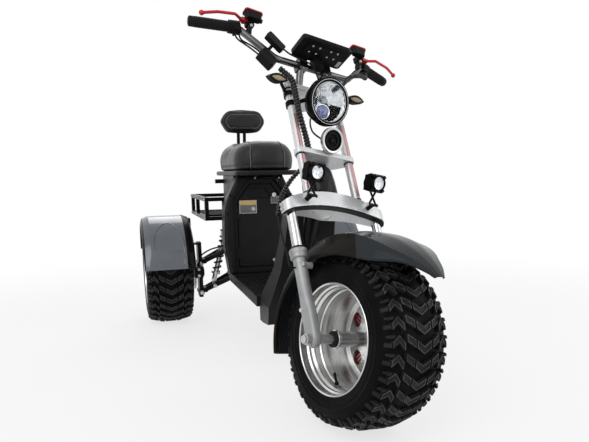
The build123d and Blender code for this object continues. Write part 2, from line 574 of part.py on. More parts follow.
HORN = (0.0, -108.0, 600.0)
HORN_R = 38.0
TRUMPET = [(0, -34), (18, -34), (HORN_R - 6, -14), (HORN_R, -12), (HORN_R, -2), (HORN_R - 3, 0),
           (HORN_R - 7, 0), (HORN_R - 9, -6), (HORN_R - 14, -6), (HORN_R - 16, -3), (HORN_R - 19, -3),
           (HORN_R - 21, -9), (9, -9), (6, -3), (0, -2)]
with BuildPart() as horn:
    add(turned(TRUMPET).moved(level_plane(HORN).location))
    with Locations((0, -52, MID_YOKE_Z + PLATE_T + SEAT_FIT + 2)):
        Box(22, 30, 4)
    rod((0, -60, MID_YOKE_Z + PLATE_T + SEAT_FIT + 6.5), (0, -80, 616), 6)
pieces.append(("horn", horn.part, "fork"))

AUX = (112.0, -143.0, 450.0)
AUX_R = 24.0
AUX_FINS, FIN_PITCH, FIN_T = 4, 8.0, 3.0
AUX_BASE = (AUX[0], AUX[1] + 49, 404.0)      # where the scissor bracket stands
YOKE_FRONT = FORK_OFFSET + YOKE_BOSS_R + SEAT_FIT   # ahead of the steering axis
AUX_HOUSING = [(0, -52), (15, -52)]
for k in range(AUX_FINS):
    fin = -52 + FIN_PITCH * k + 4
    AUX_HOUSING += [(15, fin), (AUX_R - 2, fin), (AUX_R - 2, fin + FIN_T), (15, fin + FIN_T)]
AUX_HOUSING += [(15, -18), (AUX_R, -16), (AUX_R, -1), (AUX_R - 1, 0), (AUX_R - 4, 0), (AUX_R - 4, -8), (0, -8)]
with BuildPart() as aux_lamps:
    for side in (-1, 1):
        add(turned(AUX_HOUSING).moved(level_plane(at_side(side, AUX)).location))
        for way in (-1, 1):
            rod(at_side(side, (AUX_BASE[0] - way * 14, AUX_BASE[1], AUX_BASE[2])),
                at_side(side, (AUX[0] + way * 13, AUX[1] + 32, AUX[2] - 4)), 3.2)
        rod(at_side(side, (AUX_BASE[0] - 18, AUX_BASE[1], AUX_BASE[2])),
            at_side(side, (AUX_BASE[0] + 18, AUX_BASE[1], AUX_BASE[2])), 4)
        rod(at_side(side, AUX_BASE), (side * AUX_BASE[0], -YOKE_FRONT, AUX_BASE[2]), 7)
pieces.append(("aux_lamps", aux_lamps.part, "fork"))

with BuildPart() as aux_lenses:
    for side in (-1, 1):
        with BuildSketch(level_plane(at_side(side, AUX)).offset(-8 + SEAT_FIT)):
            Circle(AUX_R - 4 - SEAT_FIT)
        extrude(amount=6)
pieces.append(("aux_lenses", aux_lenses.part, "fork"))

SIGNAL, SIGNAL_CLAMP_Z = (149.0, -85.0, 804.0), 780.0
LEAF_HALF, LEAF_TALL, LEAF_T = 33.0, 14.0, 24.0
with BuildPart() as front_signals:
    for side in (-1, 1):
        with BuildSketch(level_plane(at_side(side, SIGNAL)).offset(-LEAF_T / 2)) as leaf:
            with BuildLine():
                ThreePointArc((-LEAF_HALF, 0), (0, LEAF_TALL), (LEAF_HALF, 0))
                ThreePointArc((LEAF_HALF, 0), (0, -LEAF_TALL), (-LEAF_HALF, 0))
            make_face()
        extrude(leaf.sketch, amount=LEAF_T)
        rod(at_side(side, (SIGNAL[0] - 18, SIGNAL[1] + 6, SIGNAL[2] - 10)),
            at_side(side, (UPPER_HALF + UPPER_R, -UPPER_FWD - 3, SIGNAL_CLAMP_Z)), 5)
        for half_tall, radius, mode in ((7, UPPER_R + 5, Mode.ADD), (40, UPPER_R + SEAT_FIT, Mode.SUBTRACT)):
            rod((side * UPPER_HALF, -UPPER_FWD, SIGNAL_CLAMP_Z - half_tall),
                (side * UPPER_HALF, -UPPER_FWD, SIGNAL_CLAMP_Z + half_tall), radius, mode)
pieces.append(("front_signals", front_signals.part, "fork"))

CALIPER_X, CALIPER_Y, CALIPER_Z = FRONT_DISC_X + 2, FWD + 84, 60.0
with BuildPart() as front_caliper:
    with Locations((CALIPER_X, CALIPER_Y, CALIPER_Z)):
        Box(21, 52, 60)
    for z in (CALIPER_Z - 14, CALIPER_Z + 14):
        rod((CALIPER_X + 8, CALIPER_Y, z), (CALIPER_X + 15, CALIPER_Y, z), 11)
    bracket_in, bracket_out = CALIPER_X + 6, FORK_HALF - CASTING_HALF - SEAT_FIT
    with Locations(((bracket_in + bracket_out) / 2, FWD + 36, CALIPER_Z - 11)):
        Box(bracket_out - bracket_in, 72, 30)
    rod((FRONT_DISC_X - DISC_T / 2 - 2, FWD, 0), (FRONT_DISC_X + DISC_T / 2 + 2, FWD, 0), 113, Mode.SUBTRACT)
pieces.append(("front_caliper", front_caliper.part, "fork"))

# Junction boxes beside the right half of the bar.
#        along the bar, off it, ahead of it, size along, across and deep
BOXES = [(14.0, -30.0, 0.0, 56.0, 34.0, 30.0),
         (32.0, 21.0, 30.0, 66.0, 26.0, 18.0)]
bar_low, bar_high = Vector(*at_side(-1, route[1])), Vector(*at_side(-1, route[2]))
bar_dir = (bar_high - bar_low).normalized()
bar_up = bar_dir.cross(Vector(0, -1, 0)).normalized()


def beside_bar(along, off, ahead):
    """Point beside the sloping run of the right half of the bar."""
    return tuple(bar_low + bar_dir * along + bar_up * off + Vector(0, -ahead, 0))


with BuildPart() as bar_boxes:
    for along, off, ahead, long, wide, deep in BOXES:
        middle = beside_bar(along, off, ahead)
        with BuildSketch(Plane(origin=middle, x_dir=bar_dir, z_dir=(0, -1, 0))) as face:
            RectangleRounded(long, wide, 6)
        extrude(face.sketch, amount=deep / 2, both=True)
        rod(beside_bar(along, 0, 0), middle, 5)
    bent_tube(full_route, BAR_BEND, BAR_R + SEAT_FIT, Mode.SUBTRACT)
pieces.append(("bar_boxes", bar_boxes.part, "fork"))

# Harness and cables, held all the way.  Points are in the fork's frame.
LOOM_R, THIN_LOOM_R, CABLE_R = 9.0, 6.5, 2.6
box_end = BOXES[0][3] / 2 + 1.6
pod_low = bar_point(GRIP_INNER - 15)[2] - 8 - 15 - SEAT_FIT
box_along, box_off = BOXES[0][:2]
RIGHT_LOOM = [beside_bar(box_along - box_end, box_off, 0), beside_bar(box_along - box_end - 30, box_off, 0),
              (-100, -99, 800), (-92, -88, 690), (-62, -62, 625), (-62, -62, MID_YOKE_Z + PLATE_T + SEAT_FIT)]
LOWER_LOOM = [(-72, -36, MID_YOKE_Z - SEAT_FIT), (-72, -36, 540), (-112, -8, 500),
              (-150, 4, 440), (-166, 4, 384)]
LEFT_LOOM = [(LAMP_R - 24, LAMP[1] + 11, LAMP[2] + 62), (82, -119, 822), (128, -112, 872), (190, -100, 905),
             (250, -67, 935), (250, -67, pod_low - 0.3)]
with BuildPart() as front_looms:
    cord(RIGHT_LOOM, LOOM_R)
    cord(LOWER_LOOM, THIN_LOOM_R)
    cord(LEFT_LOOM, THIN_LOOM_R)
pieces.append(("front_looms", front_looms.part, "fork"))

SENSOR_CABLE = [(-166.3, 4, 382.8), (-183, -18, 310), (-192, FWD, 235), (-192, FWD, 200),
                (-FORK_HALF - SLIDER_R - SEAT_FIT, FWD, 200)]
second_end = BOXES[1][0] - BOXES[1][3] / 2
LAMP_CABLE = [beside_bar(second_end - 0.8, *BOXES[1][1:3]), beside_bar(second_end - 22, *BOXES[1][1:3]),
              (-72, -117, 876), (-24, -118, 868), (-14, -119, 803)]
HORN_CABLE = [(-30, -59.6, 703), (-48, -74, 668), (-56, -88, 628), (-30, -91, 610)]
with BuildPart() as front_cables:
    cord(SENSOR_CABLE, CABLE_R)
    cord(LAMP_CABLE, CABLE_R)
    cord(HORN_CABLE, CABLE_R)
    for off in (-7, 7):
        box_top = beside_bar(box_along + box_end, box_off + off, 0)
        above_box = beside_bar(box_along + box_end + 25, box_off + off, 0)
        cord([(off - 252, -67, pod_low), (off - 252, -67, 935), above_box, box_top], CABLE_R)
pieces.append(("front_cables", front_cables.part, "fork"))

# ===========================================================================
# Frame, body and seat
# ===========================================================================
HEAD_LOW, HEAD_TOP = YOKE_MID_TOP + HEAD_GAP, MID_YOKE_Z - HEAD_GAP
axis_point = STEERING.origin
axis_dir = STEERING.z_dir


def along_axis(up):
    """Point on the steering axis at a distance up from the axle's height."""
    p = axis_point + axis_dir * up
    return (p.X, p.Y, p.Z)


NECK = along_axis((HEAD_LOW + HEAD_TOP) / 2)
DOWN_TUBE_R = 24.0
DOWN_TUBE_TOP, DOWN_TUBE_END = (0, NECK[1] + 10, NECK[2] - 4), (0, 500.0, 335.0)
CRADLE_BACK_Y = WHEELBASE + ARM_SPREAD + 14
FIRST_POST_Y, LAST_POST_Y = WHEELBASE - 78, CRADLE_BACK_Y - 12
CROSS_Z = 424.0


def rail_route(side):
    """Lower rail of one side, from the down tube to the back of the cradle."""
    return [(side * 10, 492, 348), (side * RAIL_HALF, 570, RAIL_Z), (side * RAIL_HALF, CRADLE_BACK_Y, RAIL_Z)]


with BuildPart() as main_frame:
    rod(along_axis(HEAD_LOW), along_axis(HEAD_TOP), HEAD_R)
    rod(DOWN_TUBE_TOP, DOWN_TUBE_END, DOWN_TUBE_R)
    for side in (-1, 1):
        bent_tube(rail_route(side), 45, RAIL_R)
        x = side * RAIL_HALF
        rod((x, FIRST_POST_Y, UPPER_RAIL_Z), (x, LAST_POST_Y, UPPER_RAIL_Z), UPPER_RAIL_R)
        rod((x, FIRST_POST_Y, RAIL_Z), (x, FIRST_POST_Y, CROSS_Z + CROSS_R), POST_TUBE_R)
        rod((x, LAST_POST_Y, RAIL_Z), (x, LAST_POST_Y, LIP_LOW - SEAT_FIT), POST_TUBE_R)
        rod((x, FIRST_POST_Y, CROSS_Z), (x, LAST_POST_Y, CROSS_Z), CROSS_R)
        for way in (-1, 1):
            ear_y = WHEELBASE + way * (EYE_HALF + SEAT_FIT + EAR_R)
            rod((x, ear_y, CROSS_Z), (side * (SHOCK_TOP_X + 8), ear_y, CROSS_Z), EAR_R)
    for y in (FIRST_POST_Y, LAST_POST_Y):
        rod((-RAIL_HALF, y, CROSS_Z), (RAIL_HALF, y, CROSS_Z), CROSS_R - 1)
    rod(along_axis(HEAD_LOW - 5), along_axis(HEAD_TOP + 5), STEM_R + SPIN_FIT, Mode.SUBTRACT)
pieces.append(("main_frame", main_frame.part, None))


def body_outline(inset):
    """Add the surround's barrel outline, drawn in from its edge, as a face of the open sketch."""
    right = [(-x + inset, z) for x, z in BODY_SIDE]
    left = [(x - inset, z) for x, z in reversed(BODY_SIDE)]
    outline = right + left
    low, high = BOX_FLOOR + inset, BODY_TOP - inset
    return [(x, min(max(z, low), high)) for x, z in outline]


def door_outline(gap):
    """Corners of the battery door, grown by a gap on every side."""
    return [(-DOOR_HALF - gap, DOOR_LOW - gap), (DOOR_HALF + gap, DOOR_LOW - gap),
            (DOOR_HALF + gap, DOOR_SHOULDER + gap / 2), (DOOR_TOP_HALF + gap / 2, DOOR_TOP + gap),
            (-DOOR_TOP_HALF - gap / 2, DOOR_TOP + gap), (-DOOR_HALF - gap, DOOR_SHOULDER + gap / 2)]


BAY_FLOOR = DOOR_LOW + 10

with BuildPart() as body_shell:
    with BuildSketch(Plane.XZ.offset(-BODY_FRONT_Y)):
        with BuildLine():
            Polyline(*body_outline(0), close=True)
        make_face()
    extrude(amount=-BODY_DEPTH)
    front_edges = body_shell.edges().filter_by_position(Axis.Y, BODY_FRONT_Y - 1, BODY_FRONT_Y + 1)
    fillet(front_edges, 14)
    with Locations((0, (BODY_FRONT_Y + BODY_DEPTH + BOX_BACK_Y) / 2, (BOX_FLOOR + BODY_TOP) / 2)):
        Box(2 * BOX_HALF, BOX_BACK_Y - BODY_FRONT_Y - BODY_DEPTH, BODY_TOP - BOX_FLOOR)
    with Locations((0, (BOX_BACK_Y + BOX_TOP_BACK_Y) / 2, (BOX_STEP + BODY_TOP) / 2)):
        Box(2 * BOX_HALF, BOX_TOP_BACK_Y - BOX_BACK_Y, BODY_TOP - BOX_STEP)
    for grow, deep in ((STEP_W, STEP_DEEP), (MOVE_GAP, DOOR_DEEP + DOOR_T + MOVE_GAP)):
        with BuildSketch(Plane.XZ.offset(-BODY_FRONT_Y)):
            with BuildLine():
                Polyline(*door_outline(grow), close=True)
            make_face()
        extrude(amount=-deep, mode=Mode.SUBTRACT)
    bay_front, bay_back = DOOR_Y + DOOR_T, BOX_BACK_Y - SHELL
    with Locations((0, (bay_front + bay_back) / 2, (BAY_FLOOR + DOOR_SHOULDER) / 2)):
        Box(2 * (DOOR_HALF - 8), bay_back - bay_front, DOOR_SHOULDER - BAY_FLOOR, mode=Mode.SUBTRACT)
    for z in HINGE_Z:
        for way in (-1, 1):
            middle = z + way * (HINGE_LONG * 0.75 + 0.5)
            rod((-DOOR_HALF, DOOR_Y, middle - HINGE_LONG / 4), (-DOOR_HALF, DOOR_Y, middle + HINGE_LONG / 4),
                HINGE_R)
            with Locations((-DOOR_HALF - HINGE_R, DOOR_Y, middle)):
                Box(2 * HINGE_R, 2 * HINGE_R, HINGE_LONG / 2)
        rod((-DOOR_HALF, DOOR_Y, z - HINGE_LONG * 0.9), (-DOOR_HALF, DOOR_Y, z + HINGE_LONG * 0.9), PIN_R)
pieces.append(("body_shell", body_shell.part, None))

BATTERY_WIDE, BATTERY_DEEP, BATTERY_TALL = 2 * DOOR_HALF - 30, 140.0, DOOR_SHOULDER - DOOR_LOW - 30
with BuildPart() as battery_block:
    with Locations((0, BOX_BACK_Y - SHELL - SEAT_FIT - BATTERY_DEEP / 2,
                    BAY_FLOOR + SEAT_FIT + BATTERY_TALL / 2)):
        Box(BATTERY_WIDE, BATTERY_DEEP, BATTERY_TALL)
    fillet(battery_block.edges().filter_by(Axis.Z), 8)
pieces.append(("battery_block", battery_block.part, None))

with BuildPart() as battery_door:
    with BuildSketch(Plane.XZ.offset(-DOOR_Y)):
        with BuildLine():
            Polyline(*door_outline(0), close=True)
        make_face()
        fillet(vertices(), DOOR_CORNER)
    extrude(amount=-DOOR_T)
    with BuildSketch(Plane.XZ.offset(-DOOR_Y)):
        with Locations((0, DOOR_TOP - 38)):
            Trapezoid(108, 44, 60)
    extrude(amount=-5, mode=Mode.SUBTRACT)
    for x, z in ((62, DOOR_TOP - 46), (58, DOOR_LOW + 22)):
        rod((x, DOOR_Y - 5, z), (x, DOOR_Y + 3, z), 9)
    for z in HINGE_Z:
        with Locations((-DOOR_HALF, DOOR_Y, z)):
            Box(2 * (HINGE_R + 1), 60, 2 * HINGE_LONG + 2, mode=Mode.SUBTRACT)
        with Locations((-DOOR_HALF + HINGE_R, DOOR_Y + DOOR_T / 2, z)):
            Box(2 * HINGE_R, DOOR_T, HINGE_LONG)
        rod((-DOOR_HALF, DOOR_Y, z - HINGE_LONG / 2), (-DOOR_HALF, DOOR_Y, z + HINGE_LONG / 2), HINGE_R)
        rod((-DOOR_HALF, DOOR_Y, z - 30), (-DOOR_HALF, DOOR_Y, z + 30), PIN_R + SEAT_FIT, Mode.SUBTRACT)
pieces.append(("battery_door", battery_door.part, None))

with BuildPart() as floorboard:
    back, tray_back = BODY_FRONT_Y + BODY_DEPTH, BODY_FRONT_Y - RIM_W
    floor_low = RAIL_Z + RAIL_R + SEAT_FIT
    with BuildSketch(Plane.XY.offset(floor_low)):
        with Locations((0, (FLOOR_FRONT_Y + back) / 2)):
            Rectangle(2 * FLOOR_HALF, back - FLOOR_FRONT_Y)
    extrude(amount=FLOOR_TOP + RIM_UP - floor_low)
    with BuildSketch(Plane.XY.offset(FLOOR_TOP)):
        with Locations((0, (FLOOR_FRONT_Y + RIM_W + tray_back) / 2)):
            Rectangle(2 * (FLOOR_HALF - RIM_W), tray_back - FLOOR_FRONT_Y - RIM_W)
    extrude(amount=RIM_UP, mode=Mode.SUBTRACT)
    with Locations((0, (FLOOR_FRONT_Y + RIM_W + tray_back) / 2, FLOOR_TOP + RIB_UP / 2)):
        with GridLocations(RIB_PITCH, 0, 11, 1):
            Box(RIB_W, tray_back - FLOOR_FRONT_Y - 60, RIB_UP)
pieces.append(("floorboard", floorboard.part, None))


def shield_block(inset):
    """Leg shield as a solid, drawn in by an inset: side outline crossed with front outline."""
    back_y = FLOOR_FRONT_Y - SEAT_FIT
    front = [(560 + inset, 166 + inset), (480 + inset, 176 + inset), (452 + inset, 260), (410 + inset, 420),
             (372 + inset, 560), (352 + inset, 600), (398, 600), (440, 560), (520, 370), (back_y, 252),
             (back_y, 166 + inset)]
    half = [(128 - inset, 100), (130 - inset, 240), (95 - inset, 370), (84 - inset, 470), (80 - inset, 560),
            (60 - inset, 602)]
    with BuildPart() as block:
        with BuildSketch(Plane.YZ) as side_view:
            with BuildLine():
                Polyline(*front, close=True)
            make_face()
        extrude(side_view.sketch, amount=150, both=True)
        with BuildSketch(Plane.XZ) as front_view:
            with BuildLine():
                Polyline(*half, *[(-x, z) for x, z in reversed(half)], close=True)
            make_face()
        extrude(front_view.sketch, amount=-800, mode=Mode.INTERSECT)
    return block.part


with BuildPart() as leg_shield:
    add(shield_block(0))
    add(shield_block(SHELL).moved(Location((0, 3, -3))), mode=Mode.SUBTRACT)
    rod(DOWN_TUBE_TOP, DOWN_TUBE_END, DOWN_TUBE_R + 3, Mode.SUBTRACT)
    with Locations(DOWN_TUBE_END):
        Sphere(DOWN_TUBE_R + 8, mode=Mode.SUBTRACT)
    rod(along_axis(HEAD_LOW - 60), along_axis(HEAD_TOP + 60), HEAD_R + SEAT_FIT, Mode.SUBTRACT)
    for side in (-1, 1):
        bent_tube(rail_route(side), 45, RAIL_R + 3, Mode.SUBTRACT)
pieces.append(("leg_shield", leg_shield.part, None))

with BuildPart() as seat_base:
    with BuildSketch(Plane.XY.offset(LIP_LOW)):
        with Locations((0, (SEAT_FRONT_Y + SEAT_BACK_Y) / 2 + 12)):
            RectangleRounded(2 * (SEAT_HALF + 4), SEAT_BACK_Y - SEAT_FRONT_Y + 44, 60)
    extrude(amount=LIP_T)
    fillet(seat_base.edges().filter_by_position(Axis.Z, LIP_LOW + LIP_T - 1, LIP_LOW + LIP_T + 1), 7)
    fillet(seat_base.edges().filter_by_position(Axis.Z, LIP_LOW - 1, LIP_LOW + 1), 7)
pieces.append(("seat_base", seat_base.part, None))

with BuildPart() as seat_cushion:
    with BuildSketch(Plane.XY.offset(LIP_LOW + LIP_T + SEAT_FIT)):
        with Locations((0, (SEAT_FRONT_Y + SEAT_BACK_Y) / 2)):
            RectangleRounded(2 * SEAT_HALF, SEAT_BACK_Y - SEAT_FRONT_Y, 110)
    extrude(amount=SEAT_TOP - LIP_LOW - LIP_T - SEAT_FIT)
    fillet(seat_cushion.edges().group_by(Axis.Z)[-1], 84)
    fillet(seat_cushion.edges().group_by(Axis.Z)[0], 12)
pieces.append(("seat_cushion", seat_cushion.part, None))

back_low, back_top = BACK_Z - BACK_TALL / 2, BACK_Z + BACK_TALL / 2
back_front = BACK_Y - BACK_T / 2
with BuildPart() as backrest_pad:
    with BuildSketch(Plane.XZ.offset(-BACK_Y + BACK_T / 2)):
        with BuildLine():
            Polyline((-BACK_HALF, BACK_Z), (-BACK_SHOULDER, back_top), (BACK_SHOULDER, back_top),
                     (BACK_HALF, BACK_Z), (BACK_SHOULDER, back_low), (-BACK_SHOULDER, back_low), close=True)
        make_face()
        fillet(vertices(), 12)
    extrude(amount=-BACK_T)
    fillet(backrest_pad.edges().filter_by_position(Axis.Y, back_front - 1, back_front + 1), 12)
pieces.append(("backrest_pad", backrest_pad.part, None))

SHELL_Y, BACK_SHELL_T = BACK_Y + BACK_T / 2 + SEAT_FIT, 6.0
with BuildPart() as backrest_frame:
    with BuildSketch(Plane.XZ.offset(-SHELL_Y)):
        with Locations((0, BACK_Z)):
            RectangleRounded(150, 70, 10)
    extrude(amount=-BACK_SHELL_T)
    for side in (-1, 1):
        rod((side * POST_HALF, SHELL_Y + BACK_SHELL_T + POST_R - 2, BACK_Z + 20),
            (side * POST_HALF, SEAT_BACK_Y + POST_R + 10, LIP_LOW + LIP_T - 5), POST_R)
    split(bisect_by=Plane.XY.offset(LIP_LOW + LIP_T + SEAT_FIT), keep=Keep.TOP)
pieces.append(("backrest_frame", backrest_frame.part, None))

# ---- Rear carrier, lamps --------------------------------------------------
RACK_HALF, RACK_AHEAD, RACK_LONG, RACK_TUBE = 210.0, 80.0, 524.0, 18.0
RACK_FRONT_Y = WHEELBASE - RACK_AHEAD
RACK_BACK_Y = RACK_FRONT_Y + RACK_LONG
RACK_MID_Y = (RACK_FRONT_Y + RACK_BACK_Y) / 2 + 60
SLATS = 4
RACK_LOW, RACK_HIGH = 487.0, 576.0
with BuildPart() as rear_rack:
    for z in (RACK_LOW, RACK_HIGH):
        for y in (RACK_FRONT_Y, RACK_BACK_Y):
            if y == RACK_FRONT_Y:
                for side in (-1, 1):
                    with Locations((side * (RACK_HALF + RACK_TUBE / 2 + BOX_HALF + SEAT_FIT) / 2, y, z)):
                        Box(RACK_HALF + RACK_TUBE / 2 - BOX_HALF - SEAT_FIT, RACK_TUBE, RACK_TUBE)
            else:
                with Locations((0, y, z)):
                    Box(2 * RACK_HALF + RACK_TUBE, RACK_TUBE, RACK_TUBE)
        for side in (-1, 1):
            with Locations((side * RACK_HALF, (RACK_FRONT_Y + RACK_BACK_Y) / 2, z)):
                Box(RACK_TUBE, RACK_BACK_Y - RACK_FRONT_Y, RACK_TUBE)
    for side in (-1, 1):
        for y in (RACK_FRONT_Y, RACK_MID_Y, RACK_BACK_Y):
            with Locations((side * RACK_HALF, y, (RACK_LOW + RACK_HIGH) / 2)):
                Box(RACK_TUBE, RACK_TUBE, RACK_HIGH - RACK_LOW)
        with Locations((side * 128, RACK_FRONT_Y, (RACK_LOW + RACK_HIGH) / 2)):
            Box(RACK_TUBE, RACK_TUBE, RACK_HIGH - RACK_LOW)
    slat_start = LAST_POST_Y + POST_TUBE_R + 17
    for k in range(SLATS):
        with Locations((0, slat_start + k * (RACK_BACK_Y - slat_start) / SLATS, RACK_LOW)):
            Box(2 * RACK_HALF, RACK_TUBE, RACK_TUBE - 4)
pieces.append(("rear_rack", rear_rack.part, None))

REAR_SIGNAL_Z = LIP_LOW - 28
with BuildPart() as rear_signals:
    for side in (-1, 1):
        with Locations((side * 112, LAST_POST_Y, REAR_SIGNAL_Z)):
            Box(54, 24, 20)
        rod((side * 88, LAST_POST_Y, REAR_SIGNAL_Z),
            (side * (RAIL_HALF + POST_TUBE_R + SEAT_FIT), LAST_POST_Y, REAR_SIGNAL_Z), 5)
pieces.append(("rear_signals", rear_signals.part, None))

TAIL_HALF, TAIL_DEEP, TAIL_TALL, TAIL_Z, TAIL_RIBS = 115.0, 42.0, 66.0, 378.0, 6
with BuildPart() as tail_lamp:
    with Locations((0, LAST_POST_Y + POST_TUBE_R + SEAT_FIT + TAIL_DEEP / 2, TAIL_Z)):
        Box(2 * TAIL_HALF - 6, TAIL_DEEP, TAIL_TALL)
        for k in range(TAIL_RIBS):
            with Locations((0, 2, (k + 0.5) * TAIL_TALL / TAIL_RIBS - TAIL_TALL / 2)):
                Box(2 * TAIL_HALF, TAIL_DEEP, TAIL_TALL / TAIL_RIBS / 2)
pieces.append(("tail_lamp", tail_lamp.part, None))

# ---- Rear corners ---------------------------------------------------------
#               angle ridge r,w   shoulder r,w  edge r,w      (r past the tyre's)
REAR_HOOD = [(10.0, 22.0, 92.0, 16.0, 106.0, 12.0, 110.0),
             (32.0, 22.0, 80.0, 14.0, 104.0, -4.0, 112.0),
             (58.0, 26.0, 80.0, 14.0, 104.0, -14.0, 112.0),
             (90.0, 24.0, 80.0, 14.0, 104.0, -18.0, 112.0),
             (122.0, 24.0, 80.0, 14.0, 104.0, -14.0, 112.0),
             (160.0, 26.0, 86.0, 18.0, 104.0, 4.0, 110.0)]
REAR_HOOD_HALF = max(row[-1] for row in REAR_HOOD)
rear_hood = hood(REAR_HOOD, FENDER_WALL)


def lower_arm_z(x):
    """Height of the lower arm at a distance out from the middle."""
    ox, oz, ix, iz = LOWER_ARM
    return oz + (ox - x) / (ox - ix) * (iz - oz)


def corner(side, name):
    """Knuckle, arms and shock of one rear wheel."""
    plate_top = TYRE_R + 132
    with BuildPart() as knuckle:
        with BuildSketch(Plane.YZ.offset(side * KNUCKLE_X - KNUCKLE_T / 2)) as plate:
            with BuildLine():
                Polyline((WHEELBASE - 30, LOWER_ARM[1] - 24), (WHEELBASE + 30, LOWER_ARM[1] - 24),
                         (WHEELBASE + 42, TYRE_R), (WHEELBASE + 26, plate_top), (WHEELBASE - 26, plate_top),
                         (WHEELBASE - 42, TYRE_R), close=True)
            make_face()
        extrude(plate.sketch, amount=KNUCKLE_T)
        rod((side * KNUCKLE_X, WHEELBASE, TYRE_R), (side * (HALF_TRACK + MOTOR_HALF + 8), WHEELBASE, TYRE_R),
            AXLE_R + 2)
        rod((side * KNUCKLE_X, WHEELBASE, TYRE_R), (side * (KNUCKLE_X + 20), WHEELBASE, TYRE_R), 24)
        with Locations((side * (KNUCKLE_X + 20), WHEELBASE, plate_top - 8)):
            Box(44, 40, 8)
        with Locations((side * (HALF_TRACK - REAR_HOOD_HALF - SEAT_FIT - 3), WHEELBASE, plate_top + 52)):
            Box(6, 60, 128)
        with Locations((side * (KNUCKLE_X + 17), WHEELBASE - 90, TYRE_R)):
            Box(40, 40, 50)
        disc_x = side * (HALF_TRACK - REAR_DISC_X)
        rod((disc_x - DISC_T / 2 - 2, WHEELBASE, TYRE_R), (disc_x + DISC_T / 2 + 2, WHEELBASE, TYRE_R),
            DISC_R + 3, Mode.SUBTRACT)
        rod((disc_x - 10, WHEELBASE, TYRE_R), (disc_x + 10, WHEELBASE, TYRE_R), AXLE_R + 2)
        with Locations((side * (KNUCKLE_X - 2), WHEELBASE - 70, TYRE_R)):
            Box(12, 80, 30)
        for z in (UPPER_ARM[1], LOWER_ARM[1]):
            rod((side * KNUCKLE_X, WHEELBASE - 40, z), (side * KNUCKLE_X, WHEELBASE + 40, z), 14)
    pieces.append((f"knuckle_{name}", knuckle.part, None))
    with BuildPart() as arms:
        for ox, oz, ix, iz in (UPPER_ARM, LOWER_ARM):
            for way in (-1, 1):
                outer = (side * (ox - 20), WHEELBASE + way * 20, oz - 20 * (oz - iz) / (ox - ix))
                rod(outer, (side * ix, WHEELBASE + way * ARM_SPREAD * 0.6, iz), ARM_R)
            rod((side * ix, WHEELBASE - ARM_SPREAD * 0.75, iz),
                (side * ix, WHEELBASE + ARM_SPREAD * 0.75, iz), PIVOT_R)
            rod((side * (ox - 22), WHEELBASE - 32, oz - 22 * (oz - iz) / (ox - ix)),
                (side * (ox - 22), WHEELBASE + 32, oz - 22 * (oz - iz) / (ox - ix)), 12)
        foot_z = lower_arm_z(SHOCK_FOOT_X)
        rod((side * SHOCK_FOOT_X, WHEELBASE - 40, foot_z),
            (side * SHOCK_FOOT_X, WHEELBASE + 40, foot_z), ARM_R - 1)
        add(knuckle.part, mode=Mode.SUBTRACT)
    pieces.append((f"arms_{name}", arms.part, None))
    low = Vector(side * SHOCK_FOOT_X, WHEELBASE, lower_arm_z(SHOCK_FOOT_X) + ARM_R - 1 + EYE_R + SEAT_FIT)
    high = Vector(side * SHOCK_TOP_X, WHEELBASE, CROSS_Z)
    along = high - low
    with BuildPart() as shock:
        rod(tuple(low), tuple(low + along * 0.62), 12)
        rod(tuple(low), tuple(high), 6)
        rod(tuple(low + along * 0.13), tuple(low + along * 0.16), SPRING_R)
        rod(tuple(low + along * 0.84), tuple(low + along * 0.87), SPRING_R)
        for eye in (low, high):
            rod((eye.X, eye.Y - EYE_HALF, eye.Z), (eye.X, eye.Y + EYE_HALF, eye.Z), EYE_R)
    pieces.append((f"shock_{name}", shock.part, None))
    with BuildPart() as spring:
        start = low + along * 0.16 + along.normalized() * (WIRE_R + SEAT_FIT)
        long = along.length * 0.68 - 2 * (WIRE_R + SEAT_FIT)
        with BuildLine() as coil:
            Helix(long / COILS, long, SPRING_R - WIRE_R - 1, center=tuple(start), direction=tuple(along))
        with BuildSketch(Plane(origin=coil.line @ 0, z_dir=coil.line % 0)) as wire:
            Circle(WIRE_R)
        sweep(wire.sketch, path=coil.line, is_frenet=True)
    pieces.append((f"spring_{name}", spring.part, None))


for side, name in ((-1, "right"), (1, "left")):
    corner(side, name)
    wheel_middle = Location((side * HALF_TRACK, WHEELBASE, TYRE_R))
    pieces.append((f"rear_fender_{name}", rear_hood.moved(wheel_middle), None))

HOSE_R = 3.5
#           out, ahead of the axle, up: from the caliper to the frame's first post
HOSE = [(KNUCKLE_X + 13, 90, TYRE_R + 25.6), (KNUCKLE_X + 9, 93, TYRE_R + 76),
        (KNUCKLE_X - 40, 98, TYRE_R + 106), (KNUCKLE_X - 96, 96, TYRE_R + 116),
        (RAIL_HALF + POST_TUBE_R + 1.2, WHEELBASE - FIRST_POST_Y, TYRE_R + 120)]
with BuildPart() as rear_hoses:
    for side in (-1, 1):
        cord([(side * out, WHEELBASE - ahead, up) for out, ahead, up in HOSE], HOSE_R)
pieces.append(("rear_hoses", rear_hoses.part, None))

# ===========================================================================
# Everything on its axis, over its origin, and out to files
# ===========================================================================
placed = {}
for label, piece, home in pieces:
    if home == "wheel":
        piece = piece.moved(Location((0, FWD, 0)))
    if home in ("wheel", "fork"):
        piece = on_fork(piece)
    placed[label] = piece

boxes = [piece.bounding_box() for piece in placed.values()]
front_reach, back_reach = min(box.min.Y for box in boxes), max(box.max.Y for box in boxes)
middle_y = (front_reach + back_reach) / 2
shift = Location((0, -middle_y, 0))
for label, piece in placed.items():
    piece = piece.moved(shift)
    piece.label = label
    export_step(piece, f"parts/{label}.step")

